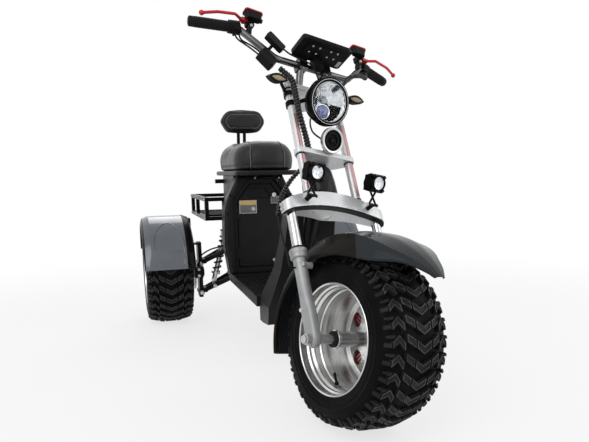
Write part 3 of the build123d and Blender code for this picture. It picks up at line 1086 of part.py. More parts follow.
print("middle", middle_y, "width", min(box.min.X for box in boxes), max(box.max.X for box in boxes))
print("height", min(box.min.Z for box in boxes), max(box.max.Z for box in boxes))
print("steering point", STEERING.origin, "axis", STEERING.z_dir, "front axle z", front_axle_z)
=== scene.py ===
"""Looks of an electric three-wheeled scooter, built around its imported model.

Everything is in metres in the model's own frame: X to the rider's left, -Y
forward, Z up.  Pieces that steer are laid out in the fork's frame, whose Z
runs up the steering axis and whose X is the front axle's direction.
"""

import json
import logging
import math
from dataclasses import dataclass
from enum import Enum
from typing import Callable, Iterable, Sequence

import bmesh
import bpy
from mathutils import Matrix, Vector
from mathutils.bvhtree import BVHTree
from mathutils.kdtree import KDTree


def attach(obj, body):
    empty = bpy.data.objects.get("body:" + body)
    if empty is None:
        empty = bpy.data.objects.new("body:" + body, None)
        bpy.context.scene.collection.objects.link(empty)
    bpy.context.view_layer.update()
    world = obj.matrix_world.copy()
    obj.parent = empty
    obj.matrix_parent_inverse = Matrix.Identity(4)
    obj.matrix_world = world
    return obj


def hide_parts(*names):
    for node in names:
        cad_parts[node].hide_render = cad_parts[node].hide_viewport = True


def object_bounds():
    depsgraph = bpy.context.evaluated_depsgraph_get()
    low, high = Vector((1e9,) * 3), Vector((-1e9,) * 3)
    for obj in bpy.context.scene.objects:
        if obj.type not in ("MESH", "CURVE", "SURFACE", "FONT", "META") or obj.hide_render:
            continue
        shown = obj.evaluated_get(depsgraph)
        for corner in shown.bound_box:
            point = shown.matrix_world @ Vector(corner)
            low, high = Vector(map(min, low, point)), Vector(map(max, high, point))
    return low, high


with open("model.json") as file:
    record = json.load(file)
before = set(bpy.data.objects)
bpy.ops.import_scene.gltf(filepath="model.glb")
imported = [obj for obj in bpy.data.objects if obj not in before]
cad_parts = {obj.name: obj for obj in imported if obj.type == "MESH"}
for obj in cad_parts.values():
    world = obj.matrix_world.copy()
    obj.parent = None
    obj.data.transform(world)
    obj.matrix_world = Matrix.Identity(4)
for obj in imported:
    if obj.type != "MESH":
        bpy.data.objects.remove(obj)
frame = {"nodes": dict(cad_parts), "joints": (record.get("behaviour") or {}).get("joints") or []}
CAD_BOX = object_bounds()

LOG = logging.getLogger("scooter")
Colour = tuple[float, float, float]
Point = Sequence[float]


class Side(Enum):
    """Side of the vehicle, as the rider sees it; the value is the sign of X."""

    RIGHT = -1
    LEFT = 1


SIDES = tuple(side.value for side in Side)


# ---------------------------------------------------------------------------
# Node trees
# ---------------------------------------------------------------------------


class Graph:
    """Adds and links the nodes of one tree with short calls."""

    def __init__(self, tree: bpy.types.NodeTree) -> None:
        """Take a tree and empty it.

        Args:
            tree: shader or geometry tree to fill.
        """
        self.tree = tree
        tree.nodes.clear()

    def add(self, kind: str, inputs: dict | None = None, **settings) -> bpy.types.Node:
        """Add a node.

        Args:
            kind: the node's type name.
            inputs: socket name or index to a value, or to a socket to link from.
            settings: attributes of the node.

        Returns:
            The new node.
        """
        node = self.tree.nodes.new(kind)
        for key, value in settings.items():
            setattr(node, key, value)
        for key, value in (inputs or {}).items():
            if isinstance(value, bpy.types.NodeSocket):
                self.tree.links.new(value, node.inputs[key])
            else:
                node.inputs[key].default_value = value
        return node

    def link(self, socket: bpy.types.NodeSocket, node: bpy.types.Node, name: str | int) -> None:
        """Link a socket to a node's input."""
        self.tree.links.new(socket, node.inputs[name])

    def math(self, operation: str, *values: float | bpy.types.NodeSocket) -> bpy.types.NodeSocket:
        """Add a maths node of one, two or three values and return its output."""
        return self.add("ShaderNodeMath", dict(enumerate(values)), operation=operation).outputs[0]

    def mix(self, factor: float | bpy.types.NodeSocket, low: Colour | bpy.types.NodeSocket,
            high: Colour | bpy.types.NodeSocket) -> bpy.types.NodeSocket:
        """Mix two colours by a factor and return the colour."""
        ends = (end if isinstance(end, bpy.types.NodeSocket) else (*end, 1.0) for end in (low, high))
        return self.add("ShaderNodeMix", dict(zip((0, 6, 7), (factor, *ends))), data_type="RGBA").outputs[2]

    def ramp(self, value: bpy.types.NodeSocket, low: float, high: float) -> bpy.types.NodeSocket:
        """Spread a value between two limits to 0..1, smoothly, and return it."""
        return self.add("ShaderNodeMapRange", {0: value, 1: low, 2: high},
                        interpolation_type="SMOOTHSTEP").outputs[0]


def new_group(name: str, inputs: dict[str, float], outputs: dict[str, str]) -> tuple[Graph, dict, bpy.types.Node]:
    """Start a shader node group with named sockets.

    Args:
        name: the group's name.
        inputs: name of each float input to its default value; "Vector" makes a vector socket.
        outputs: name of each output to its socket type.

    Returns:
        The graph, its input sockets by name, and its output node.
    """
    tree = bpy.data.node_groups.new(name, "ShaderNodeTree")
    for label, value in inputs.items():
        kind = "NodeSocketVector" if label == "Vector" else "NodeSocketFloat"
        socket = tree.interface.new_socket(label, in_out="INPUT", socket_type=kind)
        if kind == "NodeSocketFloat":
            socket.default_value = value
    for label, kind in outputs.items():
        tree.interface.new_socket(label, in_out="OUTPUT", socket_type=kind)
    graph = Graph(tree)
    source = graph.add("NodeGroupInput")
    return graph, {s.name: s for s in source.outputs if s.name}, graph.add("NodeGroupOutput")


def grain_group() -> bpy.types.NodeTree:
    """Fine and coarse noise: a height for bump and a slow mask for colour and gloss."""
    graph, given, out = new_group(
        "Grain",
        {"Vector": 0.0, "Size": 0.002, "Patch": 0.08, "Streak": 1.0},
        {"Height": "NodeSocketFloat", "Mask": "NodeSocketFloat", "Fleck": "NodeSocketFloat"},
    )
    scale = graph.math("DIVIDE", 1.0, given["Size"])
    slow = graph.math("DIVIDE", 1.0, given["Patch"])
    stretched = graph.add("ShaderNodeVectorMath", {0: given["Vector"]}, operation="MULTIPLY")
    ratio = graph.add("ShaderNodeCombineXYZ", {0: 1.0, 1: 1.0, 2: given["Streak"]})
    graph.link(ratio.outputs[0], stretched, 1)
    fine = graph.add("ShaderNodeTexNoise", {"Vector": stretched.outputs[0], "Scale": scale, "Detail": 3.0})
    coarse = graph.add("ShaderNodeTexNoise", {"Vector": given["Vector"], "Scale": slow, "Detail": 4.0})
    graph.link(fine.outputs["Fac"], out, "Height")
    graph.link(graph.ramp(coarse.outputs["Fac"], 0.3, 0.7), out, "Mask")
    graph.link(graph.ramp(fine.outputs["Fac"], 0.62, 0.78), out, "Fleck")
    return graph.tree


def weave_group() -> bpy.types.NodeTree:
    """Two-by-two twill of flat tows: which way a tow runs, and its rounded height."""
    graph, given, out = new_group("Weave", {"Vector": 0.0, "Pitch": 0.004, "Along": 1.0, "Across": 1.0},
                                  {"Tow": "NodeSocketFloat", "Height": "NodeSocketFloat"})
    cells = graph.add("ShaderNodeVectorMath", {0: given["Vector"]}, operation="SCALE")
    graph.link(graph.math("DIVIDE", 1.0, given["Pitch"]), cells, "Scale")
    parts = graph.add("ShaderNodeSeparateXYZ", {0: cells.outputs[0]})
    column, row = graph.math("FLOOR", parts.outputs[0]), graph.math("FLOOR", parts.outputs[1])
    column, row = graph.math("MULTIPLY", column, given["Along"]), graph.math("MULTIPLY", row, given["Across"])
    far = 4000.0                 # keeps the count of tows positive
    step = graph.math("MODULO", graph.math("ADD", graph.math("SUBTRACT", column, row), far), 4.0)
    tow = graph.math("LESS_THAN", step, 1.5)
    across = graph.math("FRACT", parts.outputs[0])
    along = graph.math("FRACT", parts.outputs[1])
    round_x = graph.math("SINE", graph.math("MULTIPLY", across, math.pi))
    round_y = graph.math("SINE", graph.math("MULTIPLY", along, math.pi))
    height = graph.add("ShaderNodeMix", {0: tow, 2: round_x, 3: round_y}, data_type="FLOAT")
    graph.link(tow, out, "Tow")
    graph.link(height.outputs[0], out, "Height")
    return graph.tree


def leather_group() -> bpy.types.NodeTree:
    """Pebbled hide: cells with creased borders over soft large folds."""
    graph, given, out = new_group(
        "Hide", {"Vector": 0.0, "Cell": 0.0025}, {"Height": "NodeSocketFloat", "Crease": "NodeSocketFloat"}
    )
    scale = graph.math("DIVIDE", 1.0, given["Cell"])
    bend = graph.add("ShaderNodeTexNoise", {"Vector": given["Vector"], "Scale": 90.0, "Detail": 2.0})
    shifted = graph.add("ShaderNodeVectorMath", {0: bend.outputs["Color"], "Scale": 0.004}, operation="SCALE")
    place = graph.add("ShaderNodeVectorMath", {0: given["Vector"], 1: shifted.outputs[0]}, operation="ADD")
    cell = graph.add(
        "ShaderNodeTexVoronoi", {"Vector": place.outputs[0], "Scale": scale}, feature="DISTANCE_TO_EDGE"
    )
    crease = graph.ramp(cell.outputs["Distance"], 0.0, 0.16)
    graph.link(crease, out, "Height")
    graph.link(crease, out, "Crease")
    return graph.tree


# ---------------------------------------------------------------------------
# Finishes
# ---------------------------------------------------------------------------

GRAIN, WEAVE, HIDE = grain_group(), weave_group(), leather_group()
FINE_BUMP = 0.0004           # metres


@dataclass(frozen=True)
class Finish:
    """A finish with a varied colour, a fine grain and a gloss that changes a little."""

    name: str
    colour: Colour
    roughness: float
    metallic: float = 0.0
    coat: float = 0.0
    vary: float = 0.25          # share by which the colour darkens in patches
    gloss_vary: float = 0.06
    grain: float = 0.0015       # metres
    bump: float = 0.08
    patch: float = 0.06         # metres
    streak: float = 1.0
    fleck: float = 0.0          # share of pale flecks, as in metallic paint
    sheen: float = 0.0
    specular: float = 0.5
    slot: str = ""              # the record's slot

    def place(self, graph: Graph) -> bpy.types.NodeSocket:
        """Coordinates that the pattern follows: the piece's own place in the frame."""
        return graph.add("ShaderNodeTexCoord").outputs["Object"]

    def shader(self, graph: Graph) -> bpy.types.Node:
        """Add the surface shader with its plain sockets set.

        Args:
            graph: the material's graph.

        Returns:
            The Principled node.
        """
        return graph.add("ShaderNodeBsdfPrincipled", {"Metallic": self.metallic, "Coat Weight": self.coat,
                                                      "Coat Roughness": 0.06, "Sheen Weight": self.sheen,
                                                      "Sheen Roughness": 0.4, "Specular IOR Level": self.specular})

    def shade(self) -> Colour:
        """The colour where it varies most."""
        return tuple(c * (1.0 - self.vary) for c in self.colour)

    def pattern(self, graph: Graph) -> tuple:
        """Lay out the pattern.

        Args:
            graph: the material's graph.

        Returns:
            Sockets of the colour, of a share for the gloss and of the height, and the height's depth.
        """
        grain = graph.add("ShaderNodeGroup", {"Vector": self.place(graph), "Size": self.grain, "Patch": self.patch,
                                              "Streak": self.streak}, node_tree=GRAIN)
        colour = graph.mix(grain.outputs["Mask"], self.colour, self.shade())
        if self.fleck:
            pale = tuple(min(1.0, c + self.fleck) for c in self.colour)
            colour = graph.mix(grain.outputs["Fleck"], colour, pale)
        return colour, grain.outputs["Mask"], grain.outputs["Height"], self.grain

    def dress(self, graph: Graph, surface: bpy.types.Node) -> None:
        """Feed the shader's colour, roughness and normal from the pattern.

        Args:
            graph: the material's graph.
            surface: the Principled node.
        """
        colour, gloss, height, depth = self.pattern(graph)
        graph.link(colour, surface, "Base Color")
        graph.link(graph.math("MULTIPLY_ADD", gloss, self.gloss_vary, self.roughness), surface, "Roughness")
        if self.bump:
            bump = graph.add("ShaderNodeBump", {"Height": height, "Strength": self.bump, "Distance": depth})
            graph.link(bump.outputs[0], surface, "Normal")

    def material(self) -> bpy.types.Material:
        """Build the material, or find it if it is built already.

        Returns:
            The material.
        """
        title = self.name + "_finish"
        made = bpy.data.materials.get(title)
        if not made:
            made = bpy.data.materials.new(title)
            made.use_nodes = True
            graph = Graph(made.node_tree)
            surface = self.shader(graph)
            self.dress(graph, surface)
            graph.add("ShaderNodeOutputMaterial", {"Surface": surface.outputs[0]})
        return made


@dataclass(frozen=True)
class CarbonFinish(Finish):
    """Woven tows under a clear gloss coat; the weave follows the piece's UV map."""

    pitch: float = 0.004
    along: float = 1.0           # 1 or 0: whether tows change along the map, and across it
    across: float = 1.0
    fore: Colour = (0.0, 0.0, 0.0)
    border: float = 0.0          # place along the map up to which the fore colour shows
    lean: float = 0.0            # by which the border moves for each metre across

    def pattern(self, graph: Graph) -> tuple:
        """Lay out the weave, with a fore colour up to the border."""
        spot = graph.add("ShaderNodeTexCoord").outputs["UV"]
        weave = graph.add("ShaderNodeGroup", {"Vector": spot, "Pitch": self.pitch, "Along": self.along,
                                              "Across": self.across}, node_tree=WEAVE)
        shade = self.shade()
        tow = graph.mix(weave.outputs["Tow"], self.colour, shade)
        gaps = graph.ramp(weave.outputs["Height"], 0.0, 0.35)
        colour = graph.mix(gaps, tuple(c * 0.4 for c in shade), tow)
        if self.border:
            parts = graph.add("ShaderNodeSeparateXYZ", {0: spot}).outputs
            edge = graph.math("MULTIPLY_ADD", graph.math("ABSOLUTE", parts[1]), self.lean, parts[0])
            colour = graph.mix(graph.ramp(edge, self.border, self.border + 0.004), self.fore, colour)
        return colour, weave.outputs["Tow"], weave.outputs["Height"], self.pitch * 0.1


@dataclass(frozen=True)
class TurnedFinish(Finish):
    """Lathe-turned metal: fine rings, and soft lobes of painted reflection round the axis."""

    reflection_lobes: float = 5.0
    rings: float = 900.0         # cuts for each metre of radius

    def pattern(self, graph: Graph) -> tuple:
        """Lay out the rings, and the lobes of painted reflection, along the turned map."""
        parts = graph.add("ShaderNodeSeparateXYZ", {0: graph.add("ShaderNodeTexCoord").outputs["UV"]}).outputs
        turn = graph.math("MULTIPLY", parts[0], math.tau)
        spot = graph.add("ShaderNodeCombineXYZ", {0: graph.math("COSINE", turn), 1: graph.math("SINE", turn),
                                                  2: graph.math("MULTIPLY", parts[1], 9.0)})
        # Painted reflection: soft lobes round the axis swing the colour between its darker shade and its own tone,
        # in place of the bright and dark reflections of turned metal.
        reflection_lobe = graph.add("ShaderNodeTexNoise", {"Vector": spot.outputs[0], "Scale": self.reflection_lobes / 2.5,
                                                "Detail": 2.0})
        colour = graph.mix(graph.ramp(reflection_lobe.outputs["Fac"], 0.34, 0.66), self.shade(), self.colour)
        lines = graph.add("ShaderNodeTexNoise", {"W": graph.math("MULTIPLY", parts[1], self.rings)},
                          noise_dimensions="1D")
        return colour, lines.outputs["Fac"], lines.outputs["Fac"], FINE_BUMP


@dataclass(frozen=True)
class LeatherFinish(Finish):
    """Pebbled cover with a soft sheen."""

    cell: float = 0.0025

    def pattern(self, graph: Graph) -> tuple:
        """Lay out the hide's creases, with gloss in slow patches."""
        spot = self.place(graph)
        hide = graph.add("ShaderNodeGroup", {"Vector": spot, "Cell": self.cell}, node_tree=HIDE)
        grain = graph.add("ShaderNodeGroup", {"Vector": spot, "Patch": self.patch}, node_tree=GRAIN)
        colour = graph.mix(hide.outputs["Crease"], self.shade(), self.colour)
        return colour, grain.outputs["Mask"], hide.outputs["Height"], FINE_BUMP


@dataclass(frozen=True)
class LensFinish(Finish):
    """Clear or tinted moulded lens with faint flutes inside."""

    clear: float = 0.9
    bend: float = 1.45           # refractive index

    def shader(self, graph: Graph) -> bpy.types.Node:
        """Add the surface shader, with its transmission set plainly."""
        surface = super().shader(graph)
        surface.inputs["Transmission Weight"].default_value = self.clear
        surface.inputs["IOR"].default_value = self.bend
        return surface


SILVER_CAST = Finish("silver_cast", (0.40, 0.405, 0.41), 0.42, metallic=0.35, grain=0.0012, bump=0.2, vary=0.2,
                     specular=0.4, slot="silver_cast")
SILVER_PAINT = Finish("silver_paint", (0.74, 0.75, 0.76), 0.26, metallic=0.3, coat=0.4, vary=0.1, fleck=0.06,
                      specular=0.4, slot="silver_paint")
POLISHED = Finish("polished_alloy", (0.60, 0.60, 0.60), 0.17, metallic=1.0, vary=0.10, streak=0.05, bump=0.03,
                  slot="polished_alloy")
CHROME = Finish("chrome", (0.62, 0.62, 0.63), 0.07, metallic=1.0, vary=0.2, patch=0.03, bump=0.01, slot="chrome")
# Its colour swings round the axis in lobes of painted reflection; vary sets how deep they go.
TURNED_ALLOY = TurnedFinish("turned_alloy", (0.74, 0.74, 0.735), 0.22, metallic=1.0, vary=0.34, gloss_vary=0.12,
                            bump=0.2, slot="polished_alloy")
DEEP_RED = Finish("deep_red", (0.22, 0.012, 0.016), 0.45, metallic=0.3, vary=0.3, slot="red_anodised")
LOOM_WRAP = Finish("loom_wrap", (0.050, 0.050, 0.052), 0.22, vary=0.5, patch=0.01, specular=0.4,
                   slot="black_plastic")
REFLECTOR = Finish("reflector", (0.80, 0.82, 0.85), 0.08, metallic=1.0, vary=0.3, patch=0.012, bump=0.0,
                   slot="chrome")
STEEL = Finish("zinc_steel", (0.62, 0.62, 0.62), 0.28, metallic=1.0, vary=0.2, slot="steel")
BLACK_PAINT = Finish("black_paint", (0.0075, 0.0075, 0.008), 0.30, coat=0.08, vary=0.2, grain=0.0012, bump=0.08,
                     specular=0.06, slot="black_metal")
BLACK_GLOSS = Finish("black_gloss", (0.006, 0.006, 0.0065), 0.20, coat=0.10, vary=0.2, bump=0.02, specular=0.01,
                     slot="black_metal")
SPRING_PAINT = Finish("spring_paint", (0.008, 0.008, 0.009), 0.24, coat=0.25, vary=0.2, specular=0.1,
                      slot="spring_black")
BLACK_PLASTIC = Finish("black_plastic", (0.008, 0.008, 0.0085), 0.40, grain=0.0009, bump=0.2, vary=0.2,
                       specular=0.10, slot="black_plastic")
CHARCOAL = Finish("charcoal_plastic", (0.0155, 0.0155, 0.016), 0.34, grain=0.0009, bump=0.14, vary=0.15,
                  specular=0.12, slot="black_plastic")
DARK_CHROME = Finish("dark_chrome", (0.14, 0.14, 0.145), 0.16, metallic=1.0, vary=0.3, slot="silver_paint")
GREY_GLOSS = Finish("grey_gloss", (0.012, 0.012, 0.013), 0.3, coat=0.25, fleck=0.02, vary=0.12, bump=0.03,
                    specular=0.06, slot="black_metal")
TYRE_RUBBER = Finish("tyre_rubber", (0.0055, 0.0055, 0.0057), 0.38, grain=0.001, bump=0.12, vary=0.35,
                     gloss_vary=0.16, specular=0.04, slot="tyre_rubber")
TYRE_TREAD = Finish("tyre_tread", (0.016, 0.016, 0.0157), 0.48, grain=0.0012, bump=0.35, vary=0.55, gloss_vary=0.2,
                    specular=0.18, slot="tyre_rubber")
# Pale rubber of the bars' raised outlines: a painted highlight where the edges catch the light.
TYRE_EDGE_HIGHLIGHT = Finish("tyre_worn", (0.070, 0.070, 0.068), 0.5, grain=0.0012, bump=0.4, vary=0.8, patch=0.02,
                   specular=0.35, slot="tyre_rubber")
GRIP_RUBBER = Finish("grip_rubber", (0.013, 0.013, 0.0135), 0.5, specular=0.10, grain=0.0008, bump=0.25,
                     slot="grip_rubber")
RED_ANODISED = Finish("red_anodised", (0.50, 0.012, 0.016), 0.26, metallic=0.65, coat=0.3, vary=0.12,
                      slot="red_anodised")
ROSE_PAINT = Finish("rose_paint", (0.62, 0.36, 0.36), 0.3, metallic=0.3, coat=0.5, vary=0.08, slot="silver_paint")
PALE_PLATE = Finish("pale_plate", (0.62, 0.62, 0.60), 0.4, vary=0.12, slot="silver_paint")
YELLOW_PLATE = Finish("yellow_plate", (0.72, 0.48, 0.16), 0.4, vary=0.12, slot="silver_paint")
GREY_PLATE = Finish("grey_plate", (0.17, 0.17, 0.17), 0.45, vary=0.3, grain=0.002, slot="silver_paint")
PIPING = Finish("piping", (0.17, 0.17, 0.175), 0.5, grain=0.0008, bump=0.3, vary=0.2, slot="black_leather")
RED_LENS = LensFinish("red_lens", (0.45, 0.006, 0.006), 0.12, clear=0.25, slot="red_lens")
AMBER_LENS = LensFinish("amber_lens", (0.50, 0.41, 0.26), 0.16, clear=0.1, specular=0.3, slot="clear_glass")
CLEAR_LENS = LensFinish("clear_lens", (0.97, 0.98, 0.99), 0.02, clear=1.0, bend=1.08, bump=0.0, vary=0.02,
                        slot="clear_glass")
BLUE_GLASS = LensFinish("blue_glass", (0.34, 0.40, 0.74), 0.08, clear=0.35, bump=0.0, vary=0.5, patch=0.010,
                        slot="clear_glass")
DARK_GLASS = Finish("dark_glass", (0.008, 0.009, 0.011), 0.07, coat=1.0, vary=0.2, bump=0.0, slot="black_plastic")
FENDER_BLUE = Finish("fender_blue", (0.125, 0.137, 0.155), 0.2, metallic=0.25, coat=0.45, vary=0.12, bump=0.02,
                     fleck=0.01, specular=0.3, slot="carbon_gloss")
FENDER_GREY = CarbonFinish("fender_grey", (0.050, 0.057, 0.064), 0.2, coat=0.2, vary=0.75, bump=0.06, pitch=0.0016,
                           along=0.0, specular=0.05, slot="carbon_gloss")
FENDER_DARK = CarbonFinish("fender_dark", (0.010, 0.010, 0.0105), 0.26, coat=0.08, vary=0.5, bump=0.2,
                           specular=0.02, slot="carbon_gloss")
FENDER_BROWN = CarbonFinish("fender_brown", (0.034, 0.030, 0.028), 0.26, coat=0.06, vary=0.9, bump=0.08,
                            pitch=0.0016, across=0.0, fore=(0.036, 0.041, 0.046), border=0.354, lean=0.9,
                            specular=0.02, slot="carbon_gloss")
LEATHER = LeatherFinish("black_leather", (0.0095, 0.0095, 0.010), 0.32, vary=0.5, bump=0.4, specular=0.3,
                        slot="black_leather")

NODES_BY_FINISH: tuple[tuple[Finish, tuple[str, ...]], ...] = (
    (STEEL, ("front_disc", "front_axle", "steering_stem", "shock_right", "shock_left")),
    (POLISHED, ("rear_hub_right", "rear_hub_left")),
    (CHROME, ("stanchions",)),
    (SILVER_PAINT, ("lower_yoke", "mid_yoke", "top_yoke", "upper_tubes")),
    (DARK_CHROME, ("handlebar",)),
    (GRIP_RUBBER, ("grips",)),
    (RED_ANODISED, ("brake_levers", "master_caps")),
    (BLACK_PAINT, ("master_cylinders", "horn", "aux_lamps", "front_caliper", "main_frame", "backrest_frame",
                   "rear_rack", "knuckle_right", "knuckle_left", "arms_right", "arms_left")),
    (BLACK_PLASTIC, ("switch_pods", "display", "bar_boxes", "front_signals", "front_cables", "rear_hoses",
                     "battery_block", "rear_signals")),
    (BLACK_GLOSS, ("headlamp",)),
    (CLEAR_LENS, ("headlamp_lens",)),
    (CHARCOAL, ("body_shell", "battery_door", "floorboard", "leg_shield", "seat_base")),
    (RED_LENS, ("tail_lamp",)),
    (SPRING_PAINT, ("spring_right", "spring_left")),
)


def dress_node(name: str, finish: Finish) -> None:
    """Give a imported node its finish.

    Args:
        name: the node.
        finish: the finish it shows.
    """
    node = frame["nodes"][name]
    if not node.data.materials:
        node.data.materials.append(finish.material())
    for slot in node.material_slots:
        slot.material = finish.material()


# ---------------------------------------------------------------------------
# Shapes
# ---------------------------------------------------------------------------


def unit(vector: Point) -> Vector:
    """Return the vector at length one."""
    return Vector(vector).normalized()


def new_mesh(points: Iterable[Point], faces: Iterable[Sequence[int]]) -> bpy.types.Mesh:
    """Make a mesh whose seams are merged and whose normals point outward.

    Args:
        points: its vertices.
        faces: its faces, as vertex numbers.

    Returns:
        The mesh.
    """
    mesh = bpy.data.meshes.new("shape")
    mesh.from_pydata([tuple(p) for p in points], [], [tuple(f) for f in faces])
    return tidy(mesh)


def tidy(mesh: bpy.types.Mesh, crease: float = 32.0) -> bpy.types.Mesh:
    """Merge seams, turn normals outward, and shade smooth up to an angle.

    Args:
        mesh: the mesh to work on.
        crease: edges sharper than this, in degrees, stay sharp.

    Returns:
        The same mesh.
    """
    work = bmesh.new()
    work.from_mesh(mesh)
    bmesh.ops.remove_doubles(work, verts=work.verts, dist=1e-6)
    bmesh.ops.dissolve_degenerate(work, edges=work.edges, dist=1e-7)
    bmesh.ops.recalc_face_normals(work, faces=work.faces)
    for edge in work.edges:
        edge.smooth = edge.is_manifold and edge.calc_face_angle(0.0) < math.radians(crease)
    for face in work.faces:
        face.smooth = True
    work.to_mesh(mesh)
    work.free()
    return mesh


def joined(meshes: Iterable[bpy.types.Mesh]) -> bpy.types.Mesh:
    """Join meshes to one and drop the parts."""
    work = bmesh.new()
    for mesh in meshes:
        work.from_mesh(mesh)
        bpy.data.meshes.remove(mesh)
    whole = bpy.data.meshes.new("joined")
    work.to_mesh(whole)
    work.free()
    return whole


def loft(rings: Sequence[Sequence[Point]], closed: bool = False, caps: bool = True) -> bpy.types.Mesh:
    """Skin rings of equal point counts.

    Args:
        rings: rings of points, each a closed outline.
        closed: whether the last ring joins the first.
        caps: whether the end rings are filled.

    Returns:
        The mesh.
    """
    count, points = len(rings[0]), [p for ring in rings for p in ring]
    faces = []
    for a in range(len(rings) if closed else len(rings) - 1):
        b = (a + 1) % len(rings)
        for k in range(count):
            n = (k + 1) % count
            faces.append((a * count + k, a * count + n, b * count + n, b * count + k))
    if caps and not closed:
        faces.append(tuple(range(count)))
        faces.append(tuple(range((len(rings) - 1) * count, len(rings) * count)))
    return new_mesh(points, faces)


def lathe(profile: Sequence[tuple[float, float]], sides: int = 64) -> bpy.types.Mesh:
    """Turn a closed profile of (radius, height) points about Z.

    Args:
        profile: the outline's corners.
        sides: flats round the turn.

    Returns:
        The mesh.
    """
    angles = [math.tau * k / sides for k in range(sides)]
    rings = [[(max(r, 1e-7) * math.cos(a), max(r, 1e-7) * math.sin(a), h) for r, h in profile] for a in angles]
    return turned_map(loft(rings, closed=True))


def turned_map(mesh: bpy.types.Mesh) -> bpy.types.Mesh:
    """Map a mesh that lies about Z by its turn, 0 to 1, and its radius in metres."""
    uv = mesh.uv_layers.get("UVMap") or mesh.uv_layers.new(name="UVMap")
    for face in mesh.polygons:
        lead = math.atan2(face.center.y, face.center.x)
        for index in face.loop_indices:
            x, y, _ = mesh.vertices[mesh.loops[index].vertex_index].co
            turn = lead + math.remainder(math.atan2(y, x) - lead, math.tau)
            uv.data[index].uv = (turn / math.tau + 0.5, math.hypot(x, y))
    return mesh


def cut(mesh: bpy.types.Mesh, cutter: bpy.types.Mesh) -> bpy.types.Mesh:
    """Cut one closed mesh out of another; both are used up.

    Args:
        mesh: what is cut.
        cutter: what is taken away.

    Returns:
        What is left.
    """
    whole, tool = (bpy.data.objects.new(m.name, m) for m in (mesh, cutter))
    for thing in (whole, tool):
        bpy.context.scene.collection.objects.link(thing)
    modifier = whole.modifiers.new("cut", "BOOLEAN")
    modifier.operation, modifier.object, modifier.solver = "DIFFERENCE", tool, "EXACT"
    bpy.context.view_layer.update()
    left = bpy.data.meshes.new_from_object(whole.evaluated_get(bpy.context.evaluated_depsgraph_get()))
    for thing, used in ((whole, mesh), (tool, cutter)):
        bpy.data.objects.remove(thing)
        bpy.data.meshes.remove(used)
    return tidy(left)


def tube(path: Sequence[Point], radius: float, sides: int = 12) -> bpy.types.Mesh:
    """Run a round section along a path.

    Args:
        path: points along the middle.
        radius: of the section.
        sides: flats round the section.

    Returns:
        The mesh.
    """
    at = [Vector(p) for p in path]
    ahead = [unit(at[min(i + 1, len(at) - 1)] - at[max(i - 1, 0)]) for i in range(len(at))]
    across = ahead[0].orthogonal().normalized()
    rings = []
    for point, direction in zip(at, ahead):
        across = unit(across - direction * across.dot(direction))
        above = direction.cross(across)
        turns = (math.tau * k / sides for k in range(sides))
        rings.append([point + (across * math.cos(t) + above * math.sin(t)) * radius for t in turns])
    return loft(rings)


def rounded(path: Sequence[Point], steps: int = 6, share: float = 0.45) -> list[Vector]:
    """Round the corners of a path.

    Args:
        path: its corners.
        steps: points on each bend, less one.
        share: part of the shorter run beside a corner that its bend takes.

    Returns:
        The rounded path.
    """
    at = [Vector(p) for p in path]
    smooth = [at[0]]
    for before, here, after in zip(at, at[1:], at[2:]):
        reach = share * min((here - before).length, (after - here).length)
        start, end = here + unit(before - here) * reach, here + unit(after - here) * reach
        for k in range(steps + 1):
            t = k / steps
            smooth.append(start * (1 - t) ** 2 + here * 2 * t * (1 - t) + end * t ** 2)
    return smooth + [at[-1]]


def coil(path: Sequence[Point], radius: float, wire: float, pitch: float) -> bpy.types.Mesh:
    """Wind a thin wire round a path.

    Args:
        path: points along the middle.
        radius: of the winding.
        wire: radius of the wire.
        pitch: way along the path for each turn.

    Returns:
        The wound wire.
    """
    at = [Vector(p) for p in path]
    lengths = [0.0]
    for here, there in zip(at, at[1:]):
        lengths.append(lengths[-1] + (there - here).length)
    points, across, per_turn = [], (at[1] - at[0]).orthogonal().normalized(), 14
    for k in range(int(lengths[-1] / pitch * per_turn)):
        gone = k * pitch / per_turn
        i = max(j for j in range(len(at) - 1) if lengths[j] <= gone)
        direction = unit(at[i + 1] - at[i])
        middle = at[i] + direction * (gone - lengths[i])
        across = unit(across - direction * across.dot(direction))
        turn = math.tau * k / per_turn
        points.append(middle + (across * math.cos(turn) + direction.cross(across) * math.sin(turn)) * radius)
    return tube(points, wire, 6)


def block(size: Point, bevel: float = 0.001, segments: int = 2) -> bpy.types.Mesh:
    """Make a block with rounded edges about the origin."""
    mesh = bpy.data.meshes.new("block")
    work = bmesh.new()
    bmesh.ops.create_cube(work, size=1.0, matrix=Matrix.Diagonal((*size, 1.0)))
    bmesh.ops.bevel(work, geom=list(work.edges), offset=bevel, segments=segments, affect="EDGES", profile=0.6)
    work.to_mesh(mesh)
    work.free()
    return tidy(mesh, 50.0)


def hex_bolt(across: float, tall: float) -> bpy.types.Mesh:
    """Make a flanged hexagon bolt head that stands on Z = 0."""
    half, around, rings = across / 2, 24, []
    for radius, height in ((half * 1.35, 0.0), (half * 1.35, tall * 0.18), (half * 1.2, tall * 0.24)):
        rings.append([(radius * math.cos(math.tau * k / around), radius * math.sin(math.tau * k / around), height)
                      for k in range(around)])
    for height, share in ((tall * 0.24, 1.0), (tall * 0.85, 1.0), (tall, 0.86)):
        ring = []
        for k in range(around):
            turn = math.tau * k / around
            flat = half / math.cos((turn % (math.tau / 6)) - math.tau / 12)
            ring.append((flat * share * math.cos(turn), flat * share * math.sin(turn), height))
        rings.append(ring)
    return loft(rings)


def shift(x: float, y: float, z: float) -> Matrix:
    """Matrix of a plain move."""
    return Matrix.Translation((x, y, z))


def spun(turn: float, axis: str = "Z") -> Matrix:
    """Matrix of a turn about an axis, in radians."""
    return Matrix.Rotation(turn, 4, axis)


def stand(place: Point, x: Vector, z: Vector) -> Matrix:
    """Matrix to a frame at a place, from its X and Z directions."""
    return Matrix.Translation(Vector(place)) @ Matrix((x, z.cross(x), z)).transposed().to_4x4()


